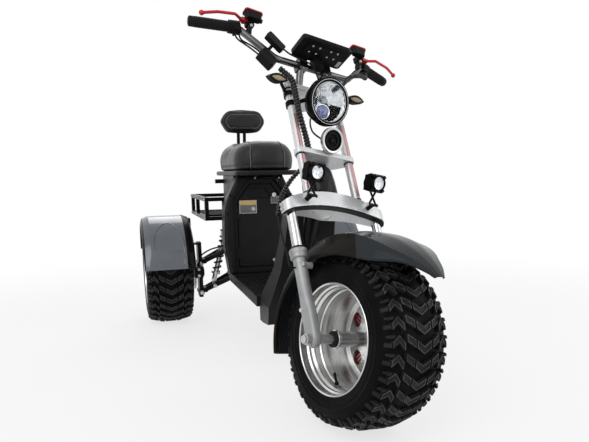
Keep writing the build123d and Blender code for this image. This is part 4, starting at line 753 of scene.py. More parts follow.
def aim(place: Point, axis: Point, x_hint: Point = (1.0, 0.0, 0.0)) -> Matrix:
    """Matrix that stands Z on an axis at a place, with X as near to the hint as it can be."""
    z = unit(axis)
    hint = Vector(x_hint) if abs(z.dot(unit(x_hint))) < 0.99 else Vector((0.0, 1.0, 0.0))
    x = unit(hint - z * hint.dot(z))
    return stand(place, x, z)


def moved(mesh: bpy.types.Mesh, *steps: Matrix) -> bpy.types.Mesh:
    """Move a mesh by matrices, the last one first, and return it."""
    for step in reversed(steps):
        mesh.transform(step)
    return mesh


def bolt(across: float, tall: float, place: Point, axis: Point) -> bpy.types.Mesh:
    """Make a bolt head that stands on an axis at a place."""
    return moved(hex_bolt(across, tall), aim(place, axis))


def repeat(name: str, pattern: bpy.types.Mesh, count: int, step: Matrix, finish: "Finish") -> bpy.types.Mesh:
    """Repeat a mesh with a node tree that turns and moves each copy on from the last.

    Args:
        name: of the mesh that is returned.
        pattern: the mesh to repeat; it is removed.
        count: number of copies.
        step: move from one copy to the next, either a turn about X or a plain shift.
        finish: the copies' material.

    Returns:
        One plain mesh of all the copies.
    """
    source = bpy.data.objects.new(name + "_one", pattern)
    bpy.context.scene.collection.objects.link(source)
    tree = bpy.data.node_groups.new(name + "_repeat", "GeometryNodeTree")
    for label, kind in (("Pattern", "NodeSocketObject"), ("Count", "NodeSocketInt"), ("Shift", "NodeSocketVector"),
                        ("Turn", "NodeSocketFloat"), ("Material", "NodeSocketMaterial")):
        tree.interface.new_socket(label, in_out="INPUT", socket_type=kind)
    tree.interface.new_socket("Geometry", in_out="OUTPUT", socket_type="NodeSocketGeometry")
    graph = Graph(tree)
    given = graph.add("NodeGroupInput").outputs
    line = graph.add("GeometryNodeMeshLine", {"Count": given["Count"], "Offset": given["Shift"]})
    index = graph.add("GeometryNodeInputIndex").outputs[0]
    turn = graph.add("ShaderNodeCombineXYZ", {0: graph.math("MULTIPLY", index, given["Turn"])})
    picked = graph.add("GeometryNodeObjectInfo", {"Object": given["Pattern"]})
    copies = graph.add(
        "GeometryNodeInstanceOnPoints",
        {"Points": line.outputs[0], "Instance": picked.outputs["Geometry"], "Rotation": turn.outputs[0]},
    )
    real = graph.add("GeometryNodeRealizeInstances", {"Geometry": copies.outputs[0]})
    dressed = graph.add("GeometryNodeSetMaterial", {"Geometry": real.outputs[0], "Material": given["Material"]})
    graph.add("NodeGroupOutput", {"Geometry": dressed.outputs[0]})
    carrier = bpy.data.objects.new(name + "_all", bpy.data.meshes.new(name + "_all"))
    bpy.context.scene.collection.objects.link(carrier)
    modifier = carrier.modifiers.new("repeat", "NODES")
    modifier.node_group = tree
    sockets = {item.name: item.identifier for item in tree.interface.items_tree if item.in_out == "INPUT"}
    modifier[sockets["Pattern"]] = source
    modifier[sockets["Count"]] = count
    modifier[sockets["Shift"]] = tuple(step.to_translation())
    modifier[sockets["Turn"]] = step.to_euler().x
    modifier[sockets["Material"]] = finish.material()
    bpy.context.view_layer.update()
    whole = bpy.data.meshes.new_from_object(carrier.evaluated_get(bpy.context.evaluated_depsgraph_get()))
    whole.name = name
    for thing in (carrier, source):
        bpy.data.objects.remove(thing)
    bpy.data.meshes.remove(pattern)
    return tidy(whole)


def piece(name: str, mesh: bpy.types.Mesh, finish: "Finish", body: str,
          replaces: Sequence[str] = ()) -> bpy.types.Object:
    """Show a mesh as a piece of the object.

    Args:
        name: the piece's name.
        mesh: its shape, in the model's frame.
        finish: what it is made of.
        body: the moving body it rides on.
        replaces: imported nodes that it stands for.

    Returns:
        The object.
    """
    mesh.name = name
    mesh.materials.clear()
    mesh.materials.append(finish.material())
    shown = bpy.data.objects.new(name, mesh)
    bpy.context.scene.collection.objects.link(shown)
    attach(shown, body)
    if replaces:
        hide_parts(*replaces)
    return shown


def joint(name: str) -> dict:
    """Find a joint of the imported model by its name."""
    return next(j for j in frame["joints"] if j["name"] == name)


@dataclass(frozen=True)
class Seat:
    """A frame in which a sub-assembly is laid out."""

    matrix: Matrix

    def put(self, mesh: bpy.types.Mesh, *steps: Matrix) -> bpy.types.Mesh:
        """Move a mesh laid out in this frame into the model's frame."""
        return moved(mesh, self.matrix, *steps)


@dataclass
class Assembly:
    """Group of pieces that is laid out in one frame and rides on one body."""

    seat: Seat
    body: str

    def show(self, name: str, shape: bpy.types.Mesh | Sequence[bpy.types.Mesh], finish: "Finish",
             replaces: Sequence[str] = (), body: str = "") -> None:
        """Show a mesh, or several that are joined, as a piece.

        Args:
            name: the piece's name.
            shape: what is shown, in the assembly's frame.
            finish: what it is made of.
            replaces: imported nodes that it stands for.
            body: the body that it rides on, where that is another one.
        """
        mesh = shape if isinstance(shape, bpy.types.Mesh) else joined(shape)
        piece(name, self.seat.put(mesh), finish, body or self.body, replaces)


def fork_seat() -> Seat:
    """Frame of the fork: Z up the steering axis, X along the front axle, -Y forward."""
    steer, spin = joint("steer"), joint("front_wheel_spin")
    z, x = unit(steer["axis"]), unit(spin["axis"])
    return Seat(stand(steer["pos_m"], x, z))


def wheel_seat(name: str, side: Side = Side.RIGHT) -> Seat:
    """Frame of a wheel: its axle is X, and -X is its outer side."""
    spin = joint(name)
    x = unit(spin["axis"]) * -side.value
    z = unit(Vector((0, 0, 1)) - x * x.z)
    return Seat(stand(spin["pos_m"], x, z))


# ---------------------------------------------------------------------------
# Studio
# ---------------------------------------------------------------------------


def white_rays(graph: Graph) -> bpy.types.NodeSocket:
    """Socket that is 1 for rays from the camera, off metal and through glass, and otherwise 0."""
    path = graph.add("ShaderNodeLightPath").outputs
    return graph.math("MAXIMUM", graph.math("MAXIMUM", path["Is Camera Ray"], path["Is Glossy Ray"]),
                      path["Is Transmission Ray"])


@dataclass
class Studio:
    """Camera, floor, backdrop and soft light."""

    eye: Point = (-0.585, -2.219, 0.698)
    heading: float = 16.26       # degrees, from +Y towards +X
    pitch_down: float = 10.21
    roll: float = -0.98
    lens: float = 35.57
    rise: float = 0.0936         # shift of the frame, share of its width
    floor_half: float = 3.2

    def build(self) -> None:
        """Make the camera, the floor and the lights, with the view shown plainly."""
        bpy.context.scene.view_settings.view_transform = "Standard"
        self.camera()
        self.floor()
        self.world()
        self.lamp("key", (-2.6, -3.0, 3.4), 3.0, 72.0)
        self.lamp("fill", (3.4, -2.2, 2.2), 3.0, 32.0)
        self.lamp("back", (0.6, 3.4, 3.0), 2.5, 48.0)

    def camera(self) -> None:
        """Make the camera and set it as the scene's."""
        data = bpy.data.cameras.new("camera")
        data.sensor_width, data.sensor_fit = 36.0, "HORIZONTAL"
        data.lens, data.shift_y = self.lens, self.rise
        turn, down, roll = (math.radians(a) for a in (self.heading, self.pitch_down, self.roll))
        ahead = Vector((math.sin(turn) * math.cos(down), math.cos(turn) * math.cos(down), -math.sin(down)))
        right = Vector((math.cos(turn), -math.sin(turn), 0.0))
        above = right.cross(ahead)
        level = right * math.cos(roll) + above * math.sin(roll)
        tall = above * math.cos(roll) - right * math.sin(roll)
        camera = bpy.data.objects.new("camera", data)
        camera.matrix_world = Matrix.Translation(Vector(self.eye)) @ Matrix((level, tall,
                                                                             -ahead)).transposed().to_4x4()
        bpy.context.scene.collection.objects.link(camera)
        bpy.context.scene.camera = camera

    def floor(self) -> None:
        """Make the pale floor, white to the camera but for the vehicle's shadow."""
        half = self.floor_half
        mesh = bpy.data.meshes.new("floor")
        mesh.from_pydata([(-half, -half, 0), (half, -half, 0), (half, half, 0), (-half, half, 0)], [],
                         [(0, 1, 2, 3)])
        floor = bpy.data.objects.new("floor", mesh)
        bpy.context.scene.collection.objects.link(floor)
        finish = bpy.data.materials.new("floor")
        finish.use_nodes = True
        graph = Graph(finish.node_tree)
        surface = graph.add("ShaderNodeBsdfPrincipled", {"Base Color": (0.97, 0.97, 0.97, 1.0), "Roughness": 0.9})
        surface.inputs["Specular IOR Level"].default_value = 0.1
        away = graph.add("ShaderNodeVectorMath", {0: graph.add("ShaderNodeTexCoord").outputs["Object"]},
                         operation="LENGTH")
        fade = graph.ramp(away.outputs["Value"], self.floor_half * 0.42, self.floor_half * 0.95)
        white = graph.add("ShaderNodeEmission", {"Color": (1, 1, 1, 1), "Strength": 1.0})
        seen = white_rays(graph)
        pale = graph.add("ShaderNodeMixShader", {0: graph.math("MULTIPLY", seen, 0.72), 1: surface.outputs[0],
                                                 2: white.outputs[0]})
        clear = graph.add("ShaderNodeBsdfTransparent")
        mixed = graph.add("ShaderNodeMixShader", {0: fade, 1: pale.outputs[0], 2: clear.outputs[0]})
        graph.add("ShaderNodeOutputMaterial", {"Surface": mixed.outputs[0]})
        mesh.materials.append(finish)

    def world(self) -> None:
        """Light evenly, and show white to the camera, to metal and through glass."""
        world = bpy.data.worlds.new("studio")
        bpy.context.scene.world = world
        world.use_nodes = True
        graph = Graph(world.node_tree)
        seen = white_rays(graph)
        light = graph.add("ShaderNodeBackground", {"Color": (1, 1, 1, 1), "Strength": 0.46})
        white = graph.add("ShaderNodeBackground", {"Color": (1, 1, 1, 1), "Strength": 1.0})
        mixed = graph.add("ShaderNodeMixShader", {0: seen, 1: light.outputs[0], 2: white.outputs[0]})
        graph.add("ShaderNodeOutputWorld", {"Surface": mixed.outputs[0]})

    def lamp(self, name: str, place: Point, size: float, power: float) -> None:
        """Add a soft square light that looks at the middle of the vehicle.

        Args:
            name: the light's name.
            place: where it stands.
            size: its side in metres.
            power: its power in watts.
        """
        data = bpy.data.lights.new(name, "AREA")
        data.size, data.energy = size, power
        lamp = bpy.data.objects.new(name, data)
        low, high = CAD_BOX
        lamp.location = place
        lamp.rotation_euler = ((low + high) / 2 - Vector(place)).to_track_quat("-Z", "Y").to_euler()
        bpy.context.scene.collection.objects.link(lamp)


# ---------------------------------------------------------------------------
# Sub-assemblies
# ---------------------------------------------------------------------------


@dataclass
class Tyre(Assembly):
    """Off-road balloon tyre with rows of grooved bars round a smooth carcass."""

    name: str
    rows: int = 32
    tread_drop: float = 0.010    # depth of the tread
    wide: float = 4.4            # of a bar, in degrees round the tyre
    crown: tuple[float, float] = (0.037, 0.240)      # half width, radius
    shoulder: tuple[float, float] = (0.088, 0.2264)

    def radius(self, x: float) -> float:
        """Radius of the tread's surface at a distance from the middle plane."""
        x = abs(x)
        if x <= self.crown[0]:
            return self.crown[1]
        share = (x - self.crown[0]) / (self.shoulder[0] - self.crown[0])
        return self.crown[1] - (self.crown[1] - self.shoulder[1]) * share

    def carcass(self) -> bpy.types.Mesh:
        """Lathe the carcass, with mould lines on the sidewall and a guard over the rim's edge.

        Returns:
            The carcass about X.
        """
        half = [(self.radius(x) - self.tread_drop, x) for x in (0.0, 0.03, 0.055, 0.075, 0.088)]
        half += [(0.2110, 0.0965), (0.2085, 0.0985), (0.2075, 0.0975), (0.2030, 0.1005), (0.1950, 0.1030),
                 (0.1850, 0.1040), (0.1825, 0.1050), (0.1800, 0.1040), (0.1720, 0.1040), (0.1690, 0.1046),
                 (0.1665, 0.1036), (0.1590, 0.1034), (0.1530, 0.1026), (0.1512, 0.1016), (0.1512, 0.1003),
                 (0.1523, 0.0935), (0.1560, 0.0840), (0.1850, 0.0860), (0.2140, 0.0700), (0.2220, 0.0)]
        profile = half + [(r, -x) for r, x in reversed(half[1:-1])]
        return moved(lathe(profile, 144), spun(math.pi / 2, "Y"))

    def spot(self, x: float, along: float, lift: float) -> Vector:
        """Place on the tread: across, along in degrees from the top, and height over its surface."""
        turn, reach = math.radians(along), self.radius(x) + lift
        return Vector((x, reach * math.sin(turn), reach * math.cos(turn)))

    def bar(self, path: Sequence[tuple[float, float]], wide: float, sunk: float = 0.0018) -> bpy.types.Mesh:
        """Make one tread bar with a sunken top inside a raised rim.

        Args:
            path: (across in millimetres, along in degrees) of its middle line.
            wide: its width in degrees round the tyre.
            sunk: depth of the top inside its rim.

        Returns:
            The bar at the top of the tyre.
        """
        line: list[tuple[float, float]] = []
        for (x0, a0), (x1, a1) in zip(path, path[1:]):
            line += [(x0 + (x1 - x0) * k / 3, a0 + (a1 - a0) * k / 3) for k in range(3)]
        line.append(path[-1])
        way = 1 if line[-1][0] > line[0][0] else -1
        ends = [(line[0][0] + way * d, line[0][1]) for d in (-1.2, 0.0, 2.2, 3.0)]
        outs = [(line[-1][0] - way * d, line[-1][1]) for d in (3.0, 2.2, 0.0, -1.2)]
        stops = [(p, up) for p, up in zip(ends, (0.0, 1.0, 1.0, 1.0))] + [(p, 1.0) for p in line[1:-1]]
        stops += [(p, up) for p, up in zip(outs, (1.0, 1.0, 1.0, 0.0))]
        rings = []
        for (x, a), up in stops:
            half, low = wide / 2, -self.tread_drop - 0.0015
            top = low + (-sunk - low) * up
            cut = [(-half - 0.45, low), (-half, top), (half, top), (half + 0.45, low)]
            rings.append([self.spot(x / 1000, a + shift, lift) for shift, lift in cut])
        return loft(rings)

    def worn(self, path: Sequence[tuple[float, float]], wide: float) -> bpy.types.Mesh:
        """Make the raised outline of one bar's top, whose pale colour is a painted highlight on its edges.

        Args:
            path: (across in millimetres, along in degrees) of the bar's middle line.
            wide: the bar's width in degrees round the tyre.

        Returns:
            The outline at the top of the tyre.
        """
        half = wide / 2
        line = [path[0]]
        for (x0, a0), (x1, a1) in zip(path, path[1:]):
            line += [(x0 + (x1 - x0) * k / 3, a0 + (a1 - a0) * k / 3) for k in (1, 2, 3)]
        loops = []
        for inset in (0.0, 0.55):
            way = math.copysign(inset * 3.2, line[-1][0] - line[0][0])
            run = [(line[0][0] + way, line[0][1])] + line[1:-1] + [(line[-1][0] - way, line[-1][1])]
            loops.append([(x, a + half - inset) for x, a in run] + [(x, a - half + inset)
                                                                    for x, a in reversed(run)])
        rings = []
        for (x0, a0), (x1, a1) in zip(*loops):
            rings.append([self.spot(x0 / 1000, a0, -0.0030), self.spot(x0 / 1000, a0, -0.0004),
                          self.spot(x0 / 1000, a0, 0.0), self.spot(x1 / 1000, a1, 0.0),
                          self.spot(x1 / 1000, a1, -0.0024)])
        return loft(rings, closed=True)

    def bars(self) -> list[tuple[list[tuple[float, float]], float]]:
        """Middle lines and widths of one row's bars, mirrored to both sides."""
        bars = [([(-23, -0.9), (0, -4.3), (23, -0.9)], self.wide)]
        for side in SIDES:
            bars.append(([(29 * side, -0.6), (52 * side, 2.8)], self.wide))
            bars.append(([(57 * side, -2.4), (73 * side, 2.2), (88 * side, -1.4)], self.wide * 0.94))
        return bars

    def row(self) -> bpy.types.Mesh:
        """Lay out one row of bars with the blades at its shoulders.

        Returns:
            The row at the top of the tyre.
        """
        bars = [self.bar(path, wide) for path, wide in self.bars()]
        for side in SIDES:
            bars.append(self.bar([(84 * side, 3.6), (92 * side, 3.2)], 1.8, 0.0))
            for along, wide, tip in ((-1.8, 3.4, 0.2050), (3.4, 1.8, 0.2120)):
                rib = []
                for lift, thin in ((0.0, 1.0), (0.0030, 0.72)):
                    ring = []
                    for x, reach, way in ((0.0885, 0.2225, -1), (0.0985, tip, -1), (0.0985, tip, 1),
                                          (0.0885, 0.2225, 1)):
                        turn = math.radians(along + way * thin * wide / 2)
                        out, far = side * (x + lift), reach + lift * 0.5
                        ring.append(Vector((out, far * math.sin(turn), far * math.cos(turn))))
                    rib.append(ring)
                bars.append(loft(rib))
        return joined(bars)

    def build(self) -> None:
        """Make the carcass and repeat the rows round it."""
        tread = repeat(self.name + "_rows", self.row(), self.rows, spun(math.tau / self.rows, "X"), TYRE_TREAD)
        self.show(self.name + "_tread", tread, TYRE_TREAD)
        # The outlines take the pale finish as a painted highlight on the bars' edges.
        outlines = joined([self.worn(path, wide) for path, wide in self.bars()])
        outlines = repeat(self.name + "_worn", outlines, self.rows, spun(math.tau / self.rows, "X"), TYRE_EDGE_HIGHLIGHT)
        self.show(self.name + "_worn_edges", outlines, TYRE_EDGE_HIGHLIGHT)
        self.show(self.name + "_carcass", self.carcass(), TYRE_RUBBER, [self.name])


OUTWARD = spun(-math.pi / 2, "Y")      # stands Z on a wheel's outer side


def rim_lip() -> bpy.types.Mesh:
    """Lathe the bright rolled edge of a rim, about Z with its outer face up."""
    return lathe([(0.1450, 0.0900), (0.1450, 0.0975), (0.1458, 0.1003), (0.1476, 0.1018), (0.1496, 0.1018),
                  (0.1510, 0.1006), (0.1511, 0.0900)], 128)


@dataclass
class FrontWheel(Assembly):
    """Polished front wheel: stepped barrel, pierced web, hub, valve and seals."""

    body: str = "front_wheel"
    windows: int = 5
    window_ring: float = 0.092

    def build(self) -> None:
        """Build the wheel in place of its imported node."""
        self.show("front_rim_barrel", moved(self.barrel(), OUTWARD), TURNED_ALLOY, ["front_rim"])
        self.show("front_rim_web", moved(self.web(), OUTWARD), TURNED_ALLOY)
        for side in SIDES:
            face = spun(math.pi) if side > 0 else Matrix()
            self.show(f"front_rim_lip_{'right' if side < 0 else 'left'}", moved(rim_lip(), face, OUTWARD),
                      TURNED_ALLOY)
        seal = lathe([(0.0125, 0.086), (0.0190, 0.086), (0.0222, 0.0912), (0.0222, 0.0955), (0.0205, 0.0972),
                      (0.0125, 0.0972)], 64)
        self.show("front_hub_seal", moved(seal, OUTWARD), BLACK_PLASTIC)
        tube_of_hub = lathe([(0.0108, -0.0300), (0.0206, -0.0300), (0.0206, 0.0790), (0.0216, 0.0800),
                             (0.0240, 0.0840), (0.0252, 0.0860), (0.0252, 0.0905), (0.0236, 0.0915),
                             (0.0108, 0.0915)], 64)
        self.show("front_hub_tube", moved(tube_of_hub, OUTWARD), POLISHED)
        self.window_linings()
        self.valve()

    def barrel(self) -> bpy.types.Mesh:
        """Lathe the barrel with its flanges and the steps inside it."""
        outer = [(0.1620, 0.1000), (0.1620, 0.0950), (0.1520, 0.0950), (0.1520, 0.0700), (0.1400, 0.0580),
                 (0.1400, -0.0580), (0.1520, -0.0700), (0.1520, -0.0950), (0.1620, -0.0950), (0.1620, -0.1000),
                 (0.1460, -0.1000)]
        inner = [(0.1460, -0.0740), (0.1345, -0.0600), (0.1335, 0.0100), (0.1345, 0.0180), (0.1325, 0.0220),
                 (0.1325, 0.0380), (0.1360, 0.0410), (0.1360, 0.0520), (0.1345, 0.0550), (0.1350, 0.0620),
                 (0.1400, 0.0680), (0.1400, 0.0760), (0.1445, 0.0800), (0.1455, 0.0900), (0.1460, 0.1000)]
        return lathe(outer + inner, 144)

    def web(self) -> bpy.types.Mesh:
        """Lathe the hub and web, and cut the oval windows through."""
        profile = [(0.0108, -0.118), (0.0280, -0.118), (0.0305, -0.0625), (0.0360, -0.0600), (0.0700, -0.0570),
                   (0.0780, -0.0600), (0.1180, -0.0668), (0.1335, -0.0640), (0.1335, -0.0520), (0.1240, -0.0535),
                   (0.1180, -0.0560), (0.1120, -0.0530), (0.0760, -0.0470), (0.0700, -0.0450), (0.0560, -0.0475),
                   (0.0370, -0.0530), (0.0330, -0.0400), (0.0240, -0.0330), (0.0215, -0.0260), (0.0108, -0.0260)]
        web = lathe(profile, 144)
        cutters = [moved(lathe([(0.0, -0.09), (0.024, -0.09), (0.024, -0.03), (0.0, -0.03)], 40),
                         self.window_place(k), Matrix.Diagonal((1.0, 0.84, 1.0, 1.0))) for k in range(self.windows)]
        return turned_map(cut(web, joined(cutters)))

    def window_place(self, k: int) -> Matrix:
        """Matrix to the place of one window, from the wheel's middle."""
        angle = math.radians(102) - math.tau * (k + 0.5) / self.windows
        return spun(angle) @ shift(self.window_ring, 0, 0)

    def window_linings(self) -> None:
        """Stand a red lining in each window of the web."""
        rings, slots = [], []
        for k in range(self.windows):
            ring = lathe([(0.0, -0.0700), (0.0260, -0.0700), (0.0260, -0.0676), (0.0238, -0.0660),
                          (0.0238, -0.0600), (0.0215, -0.0590), (0.0200, -0.0625), (0.0, -0.0632)], 48)
            rings.append(moved(ring, self.window_place(k), Matrix.Diagonal((1.0, 0.84, 1.0, 1.0))))
            for across in (-0.010, 0.0, 0.010):
                slot = block((0.036, 0.0018, 0.0014), 0.0005)
                slots.append(moved(slot, self.window_place(k), shift(0, across, -0.0622)))
        self.show("front_window_rings", moved(joined(rings), OUTWARD), DEEP_RED)
        self.show("front_window_ribs", moved(joined(slots), OUTWARD), STEEL)

    def valve(self) -> None:
        """Stand the rubber valve in the rim's well, with its cap."""
        stem = lathe([(0.0, 0.0), (0.0062, 0.0), (0.0058, 0.006), (0.0036, 0.010), (0.0034, 0.026), (0.0, 0.026)],
                     24)
        cap = lathe([(0.0, 0.0255), (0.0041, 0.0255), (0.0043, 0.034), (0.0030, 0.0365), (0.0, 0.0365)], 24)
        place = aim((-0.046, 0.018, -0.1310), (-0.42, 0.0, 1.0))
        self.show("front_valve", moved(joined([stem, cap]), place), BLACK_PLASTIC)


@dataclass
class RearWheel(Assembly):
    """Trim of one rear wheel: cover ring, bolts and centre cap."""

    side: Side
    bolts: int = 8

    def build(self) -> None:
        """Build the trim of the outer face."""
        label = self.side.name.lower()
        heads = [moved(hex_bolt(0.012, 0.007), spun(math.tau * k / self.bolts), shift(0.088, 0.0, 0.0568))
                 for k in range(self.bolts)]
        hub = lathe([(0.0, 0.0695), (0.0260, 0.0695), (0.0300, 0.0720), (0.0280, 0.0780), (0.0160, 0.0810),
                     (0.0, 0.0815)])
        self.show(f"rear_hub_bolts_{label}", moved(joined(heads), OUTWARD), STEEL)
        self.show(f"rear_hub_cap_{label}", moved(hub, OUTWARD), BLACK_PLASTIC)
        self.show(f"rear_rim_lip_{label}", moved(rim_lip(), OUTWARD), TURNED_ALLOY)


@dataclass
class Hood(Assembly):
    """Creased fender that wraps a tyre: a gloss top, darker woven flanks, and painted shade over one shoulder.

    Each station gives the angle up from straight ahead in degrees, then for the
    ridge, the shoulder and the edge the radius past the tyre's and the half
    width, in metres.
    """

    name: str
    stations: Sequence[Sequence[float]]
    top: "Finish"
    flank: "Finish"
    tyre_radius: float = 0.240
    wall: float = 0.0035
    steps: int = 9
    arch: Sequence[tuple[float, float]] = ()      # (across, angle) points of a pressed line
    inner: int = 0               # side towards the vehicle's middle; its dark flank over the shoulder is painted shade
    # Half width on the inner side where the painted shade takes over from the gloss top.
    wrap: float = 0.074

    def smooth(self) -> list[list[float]]:
        """Pass a soft curve through the stations.

        Returns:
            Stations at close steps.
        """
        rows = [list(row) for row in self.stations]
        first, last = ([2 * a - b for a, b in zip(*ends)] for ends in (rows[:2], rows[:-3:-1]))
        rows = [first, *rows, last]
        out = []
        for p0, p1, p2, p3 in zip(rows, rows[1:], rows[2:], rows[3:]):
            for k in range(self.steps):
                t = k / self.steps
                out.append([0.5 * (2 * b + (c - a) * t + (2 * a - 5 * b + 4 * c - d) * t * t
                                   + (3 * b - a - 3 * c + d) * t ** 3) for a, b, c, d in zip(p0, p1, p2, p3)])
        return out + [rows[-2]]

    def place(self, angle: float, radius: float, x: float) -> Vector:
        """Place at an angle up from straight ahead, a radius past the tyre's and across."""
        turn, reach = math.radians(angle), self.tyre_radius + radius
        return Vector((x, -reach * math.cos(turn), reach * math.sin(turn)))

    def strip(self, outline: Callable[[Sequence[float]], list[tuple[float, float]]]) -> bpy.types.Mesh:
        """Loft a band of the hood, as thick as its wall, with a UV map in metres.

        Args:
            outline: gives the band's (across, radius) points at a station.

        Returns:
            The band.
        """
        rings = []
        for row in self.smooth():
            outer = outline(row)
            inner = [(x * (1 - self.wall / max(abs(x), 0.02)) if abs(x) > 0.02 else x, r - self.wall * 0.8)
                     for x, r in reversed(outer)]
            rings.append([self.place(row[0], r, x) for x, r in outer + inner])
        mesh = loft(rings)
        uv = mesh.uv_layers.new(name="UVMap")
        for loop in mesh.loops:
            x, y, z = mesh.vertices[loop.vertex_index].co
            reach = math.hypot(y, z)
            uv.data[loop.index].uv = (math.atan2(z, -y) * 0.28, x + math.copysign(0.30 - reach, x))
        return mesh

    def build(self) -> None:
        """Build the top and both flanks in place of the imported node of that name."""

        def cap(row: Sequence[float]) -> list[tuple[float, float]]:
            """Top outline of a station, its ridges softly rounded."""
            _, ridge_r, ridge_w, side_r, side_w, _, _ = row
            corners = [(-side_w, side_r), (-ridge_w, ridge_r), (ridge_w, ridge_r), (side_w, side_r)]
            bent = rounded([(x, r, 0.0) for x, r in corners], 5, 0.22)
            return [(p.x, p.y - 0.0004) for p in bent]

        def top(row: Sequence[float]) -> list[tuple[float, float]]:
            """Part of the top outline that the gloss top covers, short of the inner side's painted shade."""
            return [(self.inner * self.wrap, r) if x * self.inner > self.wrap else (x, r) for x, r in cap(row)]

        self.show(self.name + "_top", self.strip(top), self.top, [self.name])
        for side in SIDES:
            def flank(row: Sequence[float], side: int = side) -> list[tuple[float, float]]:
                """Flank outline of a station with a rolled lower edge."""
                _, _, _, side_r, side_w, edge_r, edge_w = row
                path = [(side_w, side_r), (side_w * 0.4 + edge_w * 0.6, side_r * 0.62 + edge_r * 0.38),
                        (edge_w, edge_r + 0.004), (edge_w - 0.001, edge_r)]
                down = [(side * p.x, p.y) for p in rounded([(x, r, 0.0) for x, r in path], 4, 0.3)]
                # On the inner side the dark flank runs up over the shoulder as painted shade, for the side that
                # faces away from the light.
                if side != self.inner:
                    return down
                over = [(side * max(x * side, self.wrap), r + 0.0008) for x, r in cap(row) if x * side > 0]
                return (over if side > 0 else over[::-1]) + down[1:]

            self.show(f"{self.name}_flank_{'right' if side < 0 else 'left'}", self.strip(flank), self.flank)
        if self.arch:
            self.press()

    def press(self, radius: float = 0.0034) -> None:
        """Raise the arch as a rounded line along the top."""
        rows, points, even = self.smooth(), [], 500      # even: degrees that bend like a metre across
        for x, angle, _ in rounded([(x, a / even, 0.0) for x, a in self.arch], 8, 0.45):
            angle *= even
            row = min(rows, key=lambda r: abs(r[0] - angle))
            _, ridge_r, ridge_w, side_r, side_w, _, _ = row
            share = max(0.0, (abs(x) - ridge_w) / (side_w - ridge_w))
            points.append(self.place(angle, ridge_r + (side_r - ridge_r) * share - radius * 0.35, x))
        self.show(self.name.replace("fender", "fender_arch"), tube(points, radius, 10), self.top)


FRONT_HOOD = [
    (9, 0.092, 0.005, 0.091, 0.009, 0.084, 0.014), (20, 0.081, 0.014, 0.074, 0.045, 0.058, 0.062),
    (34, 0.070, 0.026, 0.057, 0.084, 0.010, 0.112), (56, 0.056, 0.036, 0.043, 0.096, -0.014, 0.130),
    (85, 0.046, 0.040, 0.034, 0.099, -0.020, 0.130), (118, 0.043, 0.040, 0.033, 0.099, -0.012, 0.130),
    (150, 0.048, 0.038, 0.040, 0.095, 0.008, 0.124), (172, 0.056, 0.034, 0.050, 0.088, 0.032, 0.112),
]
REAR_HOOD = [
    (10, 0.022, 0.092, 0.016, 0.106, 0.012, 0.110), (32, 0.022, 0.080, 0.014, 0.104, -0.004, 0.112),
    (58, 0.026, 0.080, 0.014, 0.104, -0.014, 0.112), (90, 0.024, 0.080, 0.014, 0.104, -0.018, 0.112),
    (122, 0.024, 0.080, 0.014, 0.104, -0.014, 0.112), (160, 0.026, 0.086, 0.018, 0.104, 0.004, 0.110),
]


